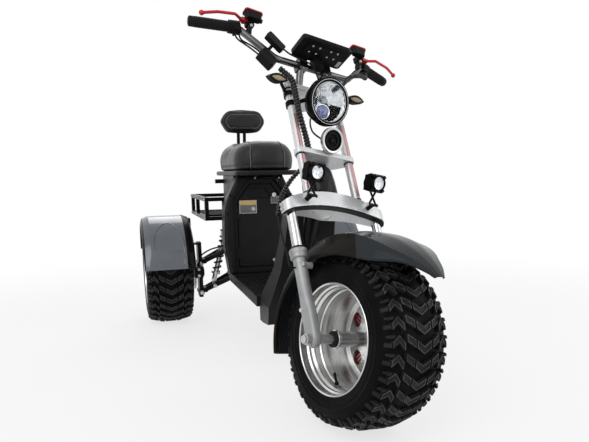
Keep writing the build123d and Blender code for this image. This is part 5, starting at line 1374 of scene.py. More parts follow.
@dataclass
class Fork(Assembly):
    """Trim of the fork and its yokes: seals, bolts, stripes and the neck's cover."""

    body: str = "steering"
    half: float = 0.156
    ahead: float = -0.045
    tube_half: float = 0.090
    tube_ahead: float = -0.055
    tube_radius: float = 0.013

    def build(self) -> None:
        """Build the trim of both sides."""
        self.legs()
        self.yokes()
        self.stripes()
        self.neck()

    def legs(self) -> None:
        """Add wiper seals, ring lines, pinch bolts and axle nuts."""
        seals, rings, bolts, castings = [], [], [], []
        for side in SIDES:
            at = shift(side * self.half, self.ahead, 0.0)
            castings.append(moved(self.casting(), at))
            lug = tube([(side * 0.1305, self.ahead - 0.014, 0.203), (side * 0.152, self.ahead - 0.014, 0.203)],
                       0.009, 24)
            castings.append(lug)
            collar = [(0.0143, 0.2260), (0.0215, 0.2260), (0.0240, 0.2285), (0.0240, 0.2400), (0.0252, 0.2420),
                      (0.0252, 0.2500), (0.0240, 0.2530), (0.0215, 0.2540), (0.0143, 0.2540)]
            castings.append(moved(lathe(collar), at))
            seals.append(moved(lathe([(0.0142, 0.2535), (0.0205, 0.2535), (0.0205, 0.2570), (0.0190, 0.2590),
                                      (0.0165, 0.2620), (0.0142, 0.2630)]), at))
            for height, radius in ((0.2050, 0.0180), (0.2090, 0.0180)):
                rings.append(moved(lathe([(radius - 0.0004, height), (radius + 0.0007, height + 0.0006),
                                          (radius + 0.0007, height + 0.0018), (radius - 0.0004, height + 0.0024)]),
                                   at))
            out = (side, 0.0, 0.0)
            bolts.append(bolt(0.021, 0.009, (side * (self.half + 0.0255), self.ahead, 0.0), out))
            bolts.append(bolt(0.009, 0.006, (side * (self.half + 0.0152), self.ahead, -0.014), out))
            bolts.append(bolt(0.010, 0.006, (side * (self.half + 0.003), self.ahead - 0.0180, 0.2030),
                              (0, -1, 0.0)))
            bolts.append(bolt(0.010, 0.006, (side * (self.half + 0.0152), self.ahead + 0.008, 0.082), out))
        self.show("fork_castings", castings, SILVER_CAST, ["fork_legs"])
        self.show("fork_seals", seals, BLACK_PLASTIC)
        self.show("fork_rings", rings, SILVER_CAST)
        self.show("fork_bolts", bolts, STEEL)

    def casting(self) -> bpy.types.Mesh:
        """Loft one leg's slider from its round top to its flat rounded foot."""
        stations = ((0.228, 18, 18, 2.0), (0.140, 18, 18, 2.0), (0.115, 17.6, 19, 2.1), (0.095, 16.4, 21.4, 2.4),
                    (0.075, 15.2, 22.8, 2.9), (0.050, 15, 23, 3.2), (0.004, 15, 23, 3.2), (-0.004, 15, 22, 3.0),
                    (-0.012, 14.4, 19, 2.7), (-0.018, 13, 14, 2.4), (-0.0215, 10.5, 8, 2.2), (-0.022, 7, 4, 2.0))
        rings, around = [], 48
        for height, wide, deep, power in stations:
            ring = []
            for turn in (math.tau * k / around for k in range(around)):
                c, s = math.cos(turn), math.sin(turn)
                ring.append(Vector((math.copysign(abs(c) ** (2 / power), c) * wide / 1000,
                                    math.copysign(abs(s) ** (2 / power), s) * deep / 1000, height)))
            rings.append(ring)
        return loft(rings)

    def yokes(self) -> None:
        """Add the yokes' bolts, the lower one's dark underside and the seals round the upper tubes."""
        bolts, rims = [], []
        for side in SIDES:
            for height in (0.376, 0.390):
                bolts.append(bolt(0.0085, 0.006, (side * 0.1818, self.ahead, height), (side, 0, 0)))
            for height in (0.575, 0.809):
                bolts.append(bolt(0.009, 0.006, (side * 0.060, -0.0665, height), (0, -1, 0)))
            bolts.append(bolt(0.017, 0.008, (side * self.tube_half, self.tube_ahead, 0.824), (0, 0, 1)))
            for height in (0.4375, 0.5660, 0.5845, 0.8000):
                ring = lathe([(0.0131, height - 0.003), (0.0148, height - 0.003), (0.0148, height),
                              (0.0131, height)])
                rims.append(moved(ring, shift(side * self.tube_half, self.tube_ahead, 0.0)))
        under = []
        for k in range(41):
            x = -0.181 + 0.362 * k / 40
            low = 0.395 - 0.029 * (x / 0.182) ** 2 - 0.0012
            front = -0.0708 if abs(x) < 0.156 else -0.045 - math.sqrt(max(0.0, 0.026 ** 2 - (abs(x) - 0.156) ** 2))
            under.append([Vector((x, y, z)) for y, z in ((front, low - 0.0035), (front, low), (front + 0.02, low),
                                                         (front + 0.02, low - 0.0035))])
        self.show("yoke_underside", loft(under), BLACK_PLASTIC)
        self.show("yoke_bolts", bolts, STEEL)
        self.show("tube_seals", rims, BLACK_PLASTIC)

    def stripe(self, side: int, middle: float, width: float, low: float, high: float) -> bpy.types.Mesh:
        """Lay a thin strip along an upper tube.

        Args:
            side: sign of X.
            middle: direction it faces, in degrees from straight ahead towards the middle.
            width: in degrees.
            low: lower end up the fork.
            high: upper end.

        Returns:
            The strip.
        """
        rings = []
        for k in range(9):
            turn = math.radians(middle + width * (k / 8 - 0.5)) * -side
            cut = []
            for radius, height in ((0.00005, low), (0.0005, low + 0.002), (0.0005, high - 0.002), (0.00005, high)):
                reach = self.tube_radius + radius
                cut.append(Vector((side * self.tube_half + reach * math.sin(turn),
                                   self.tube_ahead - reach * math.cos(turn), height)))
            for height in (high, low):
                reach = self.tube_radius - 0.0004
                cut.append(Vector((side * self.tube_half + reach * math.sin(turn),
                                   self.tube_ahead - reach * math.cos(turn), height)))
            rings.append(cut)
        return loft(rings)

    def stripes(self) -> None:
        """Lay a rose stripe and a thin red line along both upper tubes."""
        runs = ((0.4445, 0.5620), (0.5880, 0.7040), (0.7640, 0.7700))
        for name, middle, width, finish in (("rose", 8.0, 46.0, ROSE_PAINT), ("red", -22.0, 9.0, RED_ANODISED)):
            strips = [self.stripe(side, middle, width, low, high) for side in SIDES for low, high in runs]
            self.show(f"tube_stripes_{name}", strips, finish)

    def neck(self) -> None:
        """Cover the frame's head tube between the yokes, and cap the stem."""
        profile = [(0.0303, 0.448), (0.0440, 0.449), (0.0500, 0.453), (0.0525, 0.462), (0.0515, 0.505),
                   (0.0480, 0.540), (0.0430, 0.552), (0.0360, 0.558), (0.0303, 0.559)]
        self.show("neck_cover", lathe(profile), GREY_GLOSS, body="chassis")
        cap = lathe([(0.0, 0.5968), (0.0150, 0.5968), (0.0150, 0.6005), (0.0125, 0.6030), (0.0060, 0.6040),
                     (0.0, 0.6040)])
        self.show("stem_cap", cap, STEEL)


RAKE = math.radians(31.5)        # of the steering axis, from upright


def level(place: Point) -> Matrix:
    """Matrix that turns Z level and forward at a place of the fork's frame, with Y up."""
    return aim(place, (0.0, -math.cos(RAKE), -math.sin(RAKE)), (1.0, 0.0, 0.0))


@dataclass
class Lamps(Assembly):
    """Insides and bezels of the headlamp, horn, spot lamps and signals."""

    body: str = "steering"
    head: Point = (0.0, -0.131, 0.724)
    horn: Point = (0.0, -0.108, 0.600)
    spot: Point = (0.112, -0.143, 0.450)
    signal: Point = (0.149, -0.085, 0.804)
    facets: int = 22

    def build(self) -> None:
        """Build every lamp's trim."""
        self.headlamp()
        self.horn_face()
        self.spots()
        self.signals()

    def bowl(self, profile: Sequence[tuple[float, float]], sides: int, deep: float) -> bpy.types.Mesh:
        """Make a reflector whose cells are alternately raised, as in cut glass.

        Args:
            profile: (radius, height) from the rim to the middle.
            sides: cells round the bowl.
            deep: height by which a cell's corner is raised.

        Returns:
            The reflector about Z, with a back a little behind it.
        """
        rings = []
        for k in range(sides * 2):
            turn = math.tau * k / (sides * 2)
            front = [(r, h + (deep if (k + i) % 2 else 0.0) * min(1.0, r / 0.03))
                     for i, (r, h) in enumerate(profile)]
            back = [(r, h - 0.0008) for r, h in reversed(profile)]
            rings.append([(max(r, 1e-6) * math.cos(turn), max(r, 1e-6) * math.sin(turn), h)
                          for r, h in front + back])
        return tidy(loft(rings, closed=True), 5.0)

    def headlamp(self) -> None:
        """Add the cut reflector, the black bezel with its thin bright ring, and the projector."""
        at = level(self.head)
        profile = [(0.0652, -0.0168), (0.0600, -0.0205), (0.0530, -0.0262), (0.0440, -0.0325), (0.0335, -0.0384),
                   (0.0200, -0.0430), (0.0, -0.0455)]
        self.show("headlamp_reflector", [moved(self.bowl(profile, self.facets, 0.0050), at)], REFLECTOR)
        bezel = lathe([(0.0595, -0.0016), (0.0600, 0.0012), (0.0640, 0.0030), (0.0690, 0.0026), (0.0722, -0.0002),
                       (0.0728, -0.0060), (0.0728, -0.0200), (0.0712, -0.0220), (0.0712, -0.0016)], 128)
        self.show("headlamp_bezel", [moved(bezel, at)], BLACK_GLOSS)
        rim = lathe([(0.0583, -0.0016), (0.0586, -0.0004), (0.0596, 0.0004), (0.0602, 0.0000), (0.0602, -0.0016)],
                    128)
        groove = lathe([(0.0655, 0.0024), (0.0660, 0.0034), (0.0668, 0.0034), (0.0673, 0.0024)], 128)
        self.show("headlamp_rim", [moved(rim, at), moved(groove, at)], STEEL)
        wedge = []
        for deep in (-0.0235, -0.0180):
            edge = [Vector((0.056 * math.cos(math.radians(a)), 0.056 * math.sin(math.radians(a)), deep))
                    for a in range(-68, -3, 8)]
            wedge.append([Vector((0.018, -0.004, deep)), Vector((0.017, -0.048, deep)), *edge])
        self.show("headlamp_wedge", [moved(loft(wedge), at)], BLACK_GLOSS)
        low = shift(-0.010, -0.030, 0.0) @ Matrix.Diagonal((1.18, 1.0, 1.0, 1.0))
        ring = lathe([(0.0190, -0.0218), (0.0225, -0.0300), (0.0228, -0.0210), (0.0220, -0.0188), (0.0200, -0.0182),
                      (0.0190, -0.0195)])
        self.show("projector_ring", [moved(ring, at, low)], REFLECTOR)
        glass = lathe([(0.0, -0.0216), (0.0188, -0.0216), (0.0185, -0.0200), (0.0150, -0.0180), (0.0090, -0.0168),
                       (0.0, -0.0163)])
        self.show("projector_glass", [moved(glass, at, low)], BLUE_GLASS)

    def horn_face(self) -> None:
        """Add the horn's bright ring and its stepped cone."""
        at = level(self.horn)
        ring = lathe([(0.0308, -0.0040), (0.0312, 0.0004), (0.0330, 0.0014), (0.0364, 0.0014), (0.0384, 0.0000),
                      (0.0388, -0.0110), (0.0379, -0.0125), (0.0379, -0.0030)], 96)
        self.show("horn_ring", [moved(ring, at)], STEEL)
        cone = [lathe([(r, h), (r + 0.0012, h + 0.0012), (r + 0.0026, h + 0.0012), (r + 0.0034, h)])
                for r, h in ((0.0030, -0.0030), (0.0098, -0.0089), (0.0136, -0.0085), (0.0212, -0.0030),
                             (0.0258, -0.0060))]
        self.show("horn_cone", [moved(mesh, at) for mesh in cone], BLACK_PAINT)

    def spots(self) -> None:
        """Add the spot lamps' inner mirrors, glasses, bezels and bolts."""
        mirrors, glasses, bezels, bolts, fins = [], [], [], [], []
        for side in SIDES:
            at = level((side * self.spot[0], self.spot[1], self.spot[2]))
            mirror = [(0.0192, -0.0040), (0.0165, -0.0055), (0.0130, -0.0068), (0.0085, -0.0074), (0.0, -0.0074)]
            mirrors.append(moved(self.bowl(mirror, 10, 0.0008), at))
            glasses.append(moved(lathe([(0.0, -0.0034), (0.0196, -0.0034), (0.0196, -0.0022), (0.0150, -0.0008),
                                        (0.0080, 0.0002), (0.0, 0.0005)]), at))
            bezels.append(moved(lathe([(0.0199, -0.0040), (0.0201, 0.0008), (0.0212, 0.0016), (0.0232, 0.0014),
                                       (0.0243, -0.0004), (0.0245, -0.0080), (0.0240, -0.0080)]), at))
            for k in range(5):
                deep = -0.0155 - 0.0068 * k
                size = 0.054 - 0.002 * k
                fins.append(moved(block((size, size, 0.0026), 0.0011), at, shift(0, 0, deep)))
            for turn in (45, 135, 225, 315):
                lug = block((0.012, 0.010, 0.012), 0.0025)
                bezels.append(moved(lug, at, spun(math.radians(turn)), shift(0.0265, 0, -0.0065)))
            for way in SIDES:
                bolts.append(bolt(0.008, 0.004, (side * (self.spot[0] + way * 0.013 * side), -0.114, 0.446),
                                  (0, -1, 0.2)))
                bolts.append(bolt(0.008, 0.004, (side * self.spot[0] + way * 0.0182, -0.094, 0.404), (way, 0, 0)))
        self.show("spot_mirrors", mirrors, REFLECTOR)
        self.show("spot_glasses", glasses, CLEAR_LENS, ["aux_lenses"])
        self.show("spot_bezels", bezels, BLACK_GLOSS)
        self.show("spot_fins", fins, BLACK_PAINT)
        self.show("spot_bolts", bolts, STEEL)

    def leaf(self, half: float, tall: float, count: int = 18) -> list[Point]:
        """Outline of a pointed leaf, as a ring of points."""
        edge = [(-half + 2 * half * k / count, tall * (1 - (2 * k / count - 1) ** 2)) for k in range(count)]
        return edge + [(-x, -y) for x, y in edge]

    def signals(self) -> None:
        """Add the signals' amber lenses and their dark rims."""
        lenses, rims, flutes = [], [], []
        for side in SIDES:
            at = level((side * self.signal[0], self.signal[1], self.signal[2]))
            rings = [[(x, y, h) for x, y in self.leaf(half, tall)]
                     for half, tall, h in ((0.0250, 0.0072, 0.0119), (0.0250, 0.0072, 0.0138),
                                           (0.0215, 0.0056, 0.0152), (0.0110, 0.0026, 0.0157))]
            lenses.append(moved(loft(rings), at))
            rims.append(moved(loft([[(x, y, h) for x, y in self.leaf(half, tall)]
                                    for half, tall, h in ((0.0330, 0.0140, 0.0118), (0.0330, 0.0140, 0.0132),
                                                          (0.0262, 0.0082, 0.0146), (0.0254, 0.0076, 0.0120))],
                                   closed=True), at))
            for k in range(-4, 5):
                tall = 0.0056 * (1 - (k * 0.0046 / 0.025) ** 2) - 0.0008
                flutes.append(moved(block((0.0012, 2 * tall, 0.0014), 0.0004), at, shift(k * 0.0046, 0, 0.0148)))
        self.show("signal_lenses", lenses, AMBER_LENS)
        self.show("signal_rims", rims, BLACK_PLASTIC)
        self.show("signal_flutes", flutes, AMBER_LENS)


@dataclass
class Bar(Assembly):
    """Trim of the handlebar: grips, controls, display and harness."""

    body: str = "steering"
    bend: Point = (0.245, -0.062, 0.985)
    end: Point = (0.377, -0.024, 0.995)
    looms: Sequence[tuple[float, Sequence[Point]]] = (
        (0.0090, ((-0.1265, -0.0795, 0.8535), (-0.1060, -0.0835, 0.8330), (-0.100, -0.099, 0.800),
                  (-0.092, -0.088, 0.690),
                  (-0.062, -0.062, 0.625), (-0.062, -0.062, 0.5843))),
        (0.0065, ((-0.072, -0.036, 0.5657), (-0.072, -0.036, 0.540), (-0.112, -0.008, 0.500),
                  (-0.150, 0.004, 0.440),
                  (-0.166, 0.004, 0.384))),
        (0.0065, ((0.047, -0.120, 0.786), (0.082, -0.119, 0.822), (0.128, -0.112, 0.872), (0.190, -0.100, 0.905),
                  (0.250, -0.067, 0.935), (0.250, -0.067, 0.9633))),
    )

    def build(self) -> None:
        """Build the trim of both sides."""
        self.grips()
        self.controls()
        self.display()
        self.harness()

    def along(self, out: float, side: int) -> Vector:
        """Point on the outer run of the bar at a distance out."""
        share = (out - self.bend[0]) / (self.end[0] - self.bend[0])
        spot = Vector(self.bend).lerp(Vector(self.end), share)
        return Vector((side * spot.x, spot.y, spot.z))

    def grips(self) -> None:
        """Add the grips' ribs and their end caps."""
        for side in SIDES:
            label = "right" if side < 0 else "left"
            axis = unit(self.along(0.380, side) - self.along(0.300, side))
            ring = lathe([(0.0150, 0.0), (0.0163, 0.0006), (0.0166, 0.0016), (0.0163, 0.0026), (0.0150, 0.0032)],
                         32)
            ribs = repeat(f"grip_ribs_{label}", moved(ring, aim((0, 0, 0), axis)), 19,
                          Matrix.Translation(axis * 0.0052), GRIP_RUBBER)
            self.show(f"grip_ribs_{label}", moved(ribs, Matrix.Translation(self.along(0.278, side))), GRIP_RUBBER)
            cap = lathe([(0.0, -0.001), (0.0148, -0.001), (0.0156, 0.002), (0.0140, 0.0055), (0.0090, 0.0075),
                         (0.0, 0.008)], 32)
            self.show(f"grip_end_{label}", moved(cap, aim(self.along(0.382, side), axis)), GRIP_RUBBER)

    def controls(self) -> None:
        """Add pivots, cap screws, buttons and clamp bolts."""
        bolts, buttons, reds = [], [], []
        for side in SIDES:
            bolts.append(bolt(0.009, 0.005, (side * 0.238, -0.088, 0.9993), (0, 0, 1)))
            for way in SIDES:
                screw = lathe([(0.0012, 0.0), (0.0036, 0.0), (0.0036, 0.0012), (0.0028, 0.0022), (0.0014, 0.0022),
                               (0.0012, 0.0008)], 24)
                bolts.append(moved(screw, shift(side * 0.206 + way * 0.023, -0.100, 1.0244)))
            bolts.append(bolt(0.008, 0.005, (side * 0.214, -0.094, 0.978), (0, 0, -1)))
            pod = self.along(0.2535, side)
            for k, (size, lift) in enumerate(((0.009, 0.004), (0.007, -0.006), (0.007, -0.016))):
                spot = pod + Vector((side * -0.002, 0.0115, lift))
                shape = block((size, 0.012, size * 0.8), 0.0016)
                (reds if k == 0 else buttons).append(moved(shape, Matrix.Translation(spot)))
            ring = lathe([(0.0198, 0.0), (0.0206, 0.0006), (0.0206, 0.0018), (0.0198, 0.0024)], 40)
            buttons.append(moved(ring, aim(self.along(0.2535, side), unit(self.along(0.38, side) - pod))))
            for height in (-0.010, 0.010):
                bolts.append(bolt(0.008, 0.005, (side * 0.045, -0.0965, 0.880 + height), (0, -1, 0)))
        self.show("bar_bolts", bolts, STEEL)
        self.show("pod_buttons", buttons, GRIP_RUBBER)
        self.show("pod_switches", reds, RED_ANODISED)

    def display(self) -> None:
        """Add the dark glass, the screws underneath and the blank plate."""
        glass = block((0.158, 0.056, 0.0024), 0.0011)
        self.show("display_glass", moved(glass, shift(0, -0.143, 0.9160)), DARK_GLASS)
        screws = []
        for x, y in [(middle + across, y) for middle in (-0.034, 0.034) for across in (-0.013, 0.013)
                     for y in (-0.163, -0.138)]:
            screws.append(moved(lathe([(0.0010, 0.0), (0.0034, 0.0), (0.0034, 0.0010), (0.0026, 0.0020),
                                       (0.0010, 0.0014)], 24), aim((x, y, 0.8952), (0, 0, -1))))
        self.show("display_screws", screws, STEEL)
        plate = block((0.013, 0.024, 0.0008), 0.0003)
        self.show("display_plate", moved(plate, shift(0.0780, -0.1220, 0.8977)), PALE_PLATE)
        ribs = [moved(block((0.164 - 0.004 * k, 0.0030, 0.0018), 0.0008), shift(0, -0.1700 - 0.0045 * k, 0.8976))
                for k in range(3)]
        self.show("display_ribs", ribs, BLACK_PLASTIC)

    def harness(self) -> None:
        """Run the looms in their spiral wraps."""
        cores, coils = [], []
        for radius, route in self.looms:
            path = rounded(route, 8, 0.45)
            cores.append(tube(path, radius - 0.0012, 16))
            coils.append(coil(path, radius - 0.0014, 0.0026, 0.0105))
        self.show("loom_cores", cores, BLACK_PLASTIC, ["front_looms"])
        self.show("loom_wraps", coils, LOOM_WRAP)


@dataclass
class Cushion:
    """Stuffed pad: a cut shape that is filled with air, covered and piped."""

    name: str
    fill: float
    pressure: float
    cap: float = 0.005           # furthest that the cover moves from its cut
    cell: float = 0.006
    body: str = "chassis"

    def puffed(self, mesh: bpy.types.Mesh) -> bpy.types.Mesh:
        """Fill the cut shape with air and let the cover settle.

        Args:
            mesh: the cut shape.

        Returns:
            The settled cover, subdivided once.
        """
        cover = bpy.data.objects.new(self.name + "_sim", mesh)
        bpy.context.scene.collection.objects.link(cover)
        remesh = cover.modifiers.new("remesh", "REMESH")
        remesh.mode, remesh.voxel_size = "VOXEL", self.cell
        cover.data = self.taken(cover)
        start = [v.co.copy() for v in cover.data.vertices]
        self.simulate(cover)
        for vertex, home in zip(cover.data.vertices, start):
            step = vertex.co - home
            if step.length > self.cap:
                vertex.co = home + step.normalized() * self.cap
        fine = cover.modifiers.new("fine", "SUBSURF")
        fine.levels = 1
        settled = self.taken(cover)
        bpy.data.objects.remove(cover)
        return settled

    def taken(self, thing: bpy.types.Object) -> bpy.types.Mesh:
        """Take the mesh that an object's modifiers give, and clear them."""
        bpy.context.view_layer.update()
        mesh = bpy.data.meshes.new_from_object(thing.evaluated_get(bpy.context.evaluated_depsgraph_get()))
        thing.modifiers.clear()
        return mesh

    def simulate(self, cover: bpy.types.Object) -> None:
        """Run the cloth from frame 1 to 20 under pressure and keep its last shape."""
        cloth = cover.modifiers.new("cloth", "CLOTH")
        cloth.settings.quality, cloth.settings.mass = 5, 0.3
        cloth.settings.tension_stiffness = cloth.settings.compression_stiffness = 20.0
        cloth.settings.use_pressure = True
        cloth.settings.uniform_pressure_force = self.pressure
        cloth.settings.effector_weights.gravity = 0.0
        cloth.point_cache.frame_start, cloth.point_cache.frame_end = 1, 20
        for step in range(1, 21):
            bpy.context.scene.frame_set(step)
        cover.data = self.taken(cover)
        bpy.context.scene.frame_set(1)

    def press(self, mesh: bpy.types.Mesh, seams: Sequence[Sequence[Point]], reach: float, deep: float) -> None:
        """Draw the cover in along its seams.

        Args:
            mesh: the cover.
            seams: points along each seam, on the cover.
            reach: distance over which it is drawn in.
            deep: how far it is drawn in at the seam.
        """
        tree = KDTree(sum(len(seam) for seam in seams))
        for k, point in enumerate(p for seam in seams for p in seam):
            tree.insert(point, k)
        tree.balance()
        for vertex in mesh.vertices:
            gap = tree.find(vertex.co)[2]
            if gap < reach:
                vertex.co = vertex.co - vertex.normal * deep * (1 - gap / reach) ** 2

    def show(self, mesh: bpy.types.Mesh, seams: Sequence[Sequence[Point]], replaces: str, pipe: float,
             plain: Sequence[Sequence[Point]] = ()) -> None:
        """Show the cover with its piping.

        Args:
            mesh: the cover.
            seams: points along each piped seam.
            replaces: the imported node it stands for.
            pipe: the piping's radius.
            plain: points along each seam that has no piping.
        """
        self.press(mesh, [*seams, *plain], 0.016, 0.0035)
        shown = piece(self.name, tidy(mesh, 60.0), LEATHER, self.body, [replaces])
        pipes = [tube([Vector(p) for p in seam], pipe, 8) for seam in seams]
        piece(self.name + "_piping", joined(pipes), PIPING, self.body)

    def draped(self, mesh: bpy.types.Mesh, starts: Sequence[Point], aims: Sequence[Point]) -> list[Vector]:
        """Where rays from the starts along the aims meet the cover."""
        tree = BVHTree.FromPolygons([v.co for v in mesh.vertices], [p.vertices for p in mesh.polygons])
        hits = (tree.ray_cast(Vector(s), unit(a)) for s, a in zip(starts, aims))
        return [hit[0] for hit in hits if hit[0] is not None]


@dataclass
class Seating(Assembly):
    """Saddle and backrest with their piping and the hinge under the saddle's nose."""

    body: str = "chassis"
    half: float = 0.130
    front: float = 0.1306
    back: float = 0.6756
    low: float = 0.7043
    top: float = 0.8260
    gusset: float = 0.072
    backrest_y: float = 0.6376
    backrest_z: float = 0.938

    def build(self) -> None:
        """Build both cushions and the hinge."""
        self.saddle()
        self.backrest()
        self.hinge()

    def plan(self, inset: float, height: float, count: int = 12) -> list[Vector]:
        """Rounded outline of the saddle, drawn in, at a height."""
        corner = max(0.110 - inset, 0.012)
        wide, long = self.half - inset - corner, (self.back - self.front) / 2 - inset - corner
        middle, ring = (self.front + self.back) / 2, []
        for k, (sx, sy) in enumerate(((1, 1), (-1, 1), (-1, -1), (1, -1))):
            for j in range(count):
                turn = math.pi / 2 * (k + j / (count - 1))
                ring.append(Vector((sx * wide + corner * math.cos(turn),
                                    middle + sy * long + corner * math.sin(turn), height)))
        return ring

    def saddle(self) -> None:
        """Cut, fill and pipe the saddle."""
        rings = [self.plan(0.012, self.low), self.plan(0.004, self.low + 0.004), self.plan(0.0, self.low + 0.012)]
        bulge = 0.080
        for k in range(9):
            turn = math.pi / 2 * k / 8
            rings.append(self.plan(bulge * (1 - math.cos(turn)), self.top - bulge + bulge * math.sin(turn) - 0.002))
        pad = Cushion("seat_cushion", 0.7, 4.0)
        cover = pad.puffed(loft(rings))
        self.waist(cover)
        seams = []
        for side in SIDES:
            rows = [k / 70 for k in range(71)]
            starts = [(side * (self.gusset - 0.012 * math.sin(math.pi * t)),
                       self.front - 0.05 + t * (self.back - self.front + 0.02), 0.90) for t in rows]
            over = pad.draped(cover, starts, [(0, 0, -1)] * len(rows))
            nose = pad.draped(cover, [(side * self.gusset, self.front - 0.1, self.low + 0.008 + 0.075 * t)
                                      for t in rows[::6]], [(0, 1, 0)] * len(rows[::6]))
            rise = max(nose, key=lambda p: p.z).z if nose else self.low
            over = [p for p in over if p.z > rise + 0.004]
            seams.append(nose + over)
        skirt = pad.draped(cover, [((self.half + 0.05) * math.cos(t),
                                    (self.front + self.back) / 2 + 0.35 * math.sin(t), self.low + 0.020)
                                   for t in (math.tau * k / 160 for k in range(161))],
                           [(-math.cos(t), -1.6 * math.sin(t), 0)
                            for t in (math.tau * k / 160 for k in range(161))])
        seams.append(skirt)
        pad.show(cover, seams[:2], "seat_cushion", 0.0016, seams[2:])

    def waist(self, cover: bpy.types.Mesh) -> None:
        """Sink the rider's part behind the nose and before the pillion's part."""
        for vertex in cover.vertices:
            share = (vertex.co.y - self.front) / (self.back - self.front)
            height = max(0.0, (vertex.co.z - self.low - 0.03) / (self.top - self.low))
            dip = 0.018 * math.exp(-((share - 0.52) / 0.09) ** 2) + 0.006 * math.exp(-((share - 0.25) / 0.16) ** 2)
            vertex.co.z -= dip * height

    def backrest(self) -> None:
        """Cut, fill and pipe the backrest."""
        half, shoulder, tall, thick = 0.111, 0.077, 0.104, 0.046

        def outline(inset: float, y: float) -> list[Vector]:
            """Rounded outline of the backrest, drawn in, at a depth."""
            corners = [(-half + inset * 1.1, 0), (-shoulder + inset * 0.4, tall / 2 - inset),
                       (shoulder - inset * 0.4, tall / 2 - inset), (half - inset * 1.1, 0),
                       (shoulder - inset * 0.4, inset - tall / 2), (inset * 0.4 - shoulder, inset - tall / 2)]
            middle = ((Vector(corners[5]) + Vector(corners[0])) / 2).to_tuple()
            bent = rounded([(x, z, 0) for x, z in [middle] + corners + [middle]], 7, 0.35)[:-1]
            return [Vector((p.x, y, self.backrest_z + p.y)) for p in bent]

        face, rear = self.backrest_y - thick / 2, self.backrest_y + thick / 2
        rings = [outline(0.004, rear), outline(0.0, rear - 0.004), outline(0.0, face + 0.016)]
        rings += [outline(0.014 * (1 - math.cos(t)), face + 0.016 - 0.014 * math.sin(t))
                  for t in (math.pi / 8, math.pi / 4, 3 * math.pi / 8)]
        rings += [outline(0.016, face + 0.0015), outline(0.030, face)]
        pad = Cushion("backrest_pad", 0.7, 3.0, cap=0.004, cell=0.005)
        cover = pad.puffed(loft(rings))
        route = outline(0.021, face - 0.03)
        seam = pad.draped(cover, route + route[:1], [(0, 1, 0)] * (len(route) + 1))
        pad.show(cover, [seam], "backrest_pad", 0.0014)

    def hinge(self) -> None:
        """Hang the saddle's hinge bracket and its spring rod under the nose."""
        parts = []
        for side in SIDES:
            parts.append(moved(block((0.012, 0.060, 0.006), 0.0015), shift(side * 0.034, 0.196, 0.6805),
                               spun(math.radians(-10), "X")))
            parts.append(tube(rounded([(side * 0.034, 0.166, 0.676), (side * 0.036, 0.160, 0.664),
                                       (side * 0.060, 0.230, 0.655)], 5), 0.0032, 10))
        parts.append(tube([(-0.048, 0.172, 0.6745), (0.048, 0.172, 0.6745)], 0.0042, 12))
        self.show("seat_hinge", parts, BLACK_PAINT)
        ends = [bolt(0.009, 0.005, (side * 0.048, 0.172, 0.6745), (side, 0, 0)) for side in SIDES]
        self.show("seat_hinge_bolts", ends, STEEL)


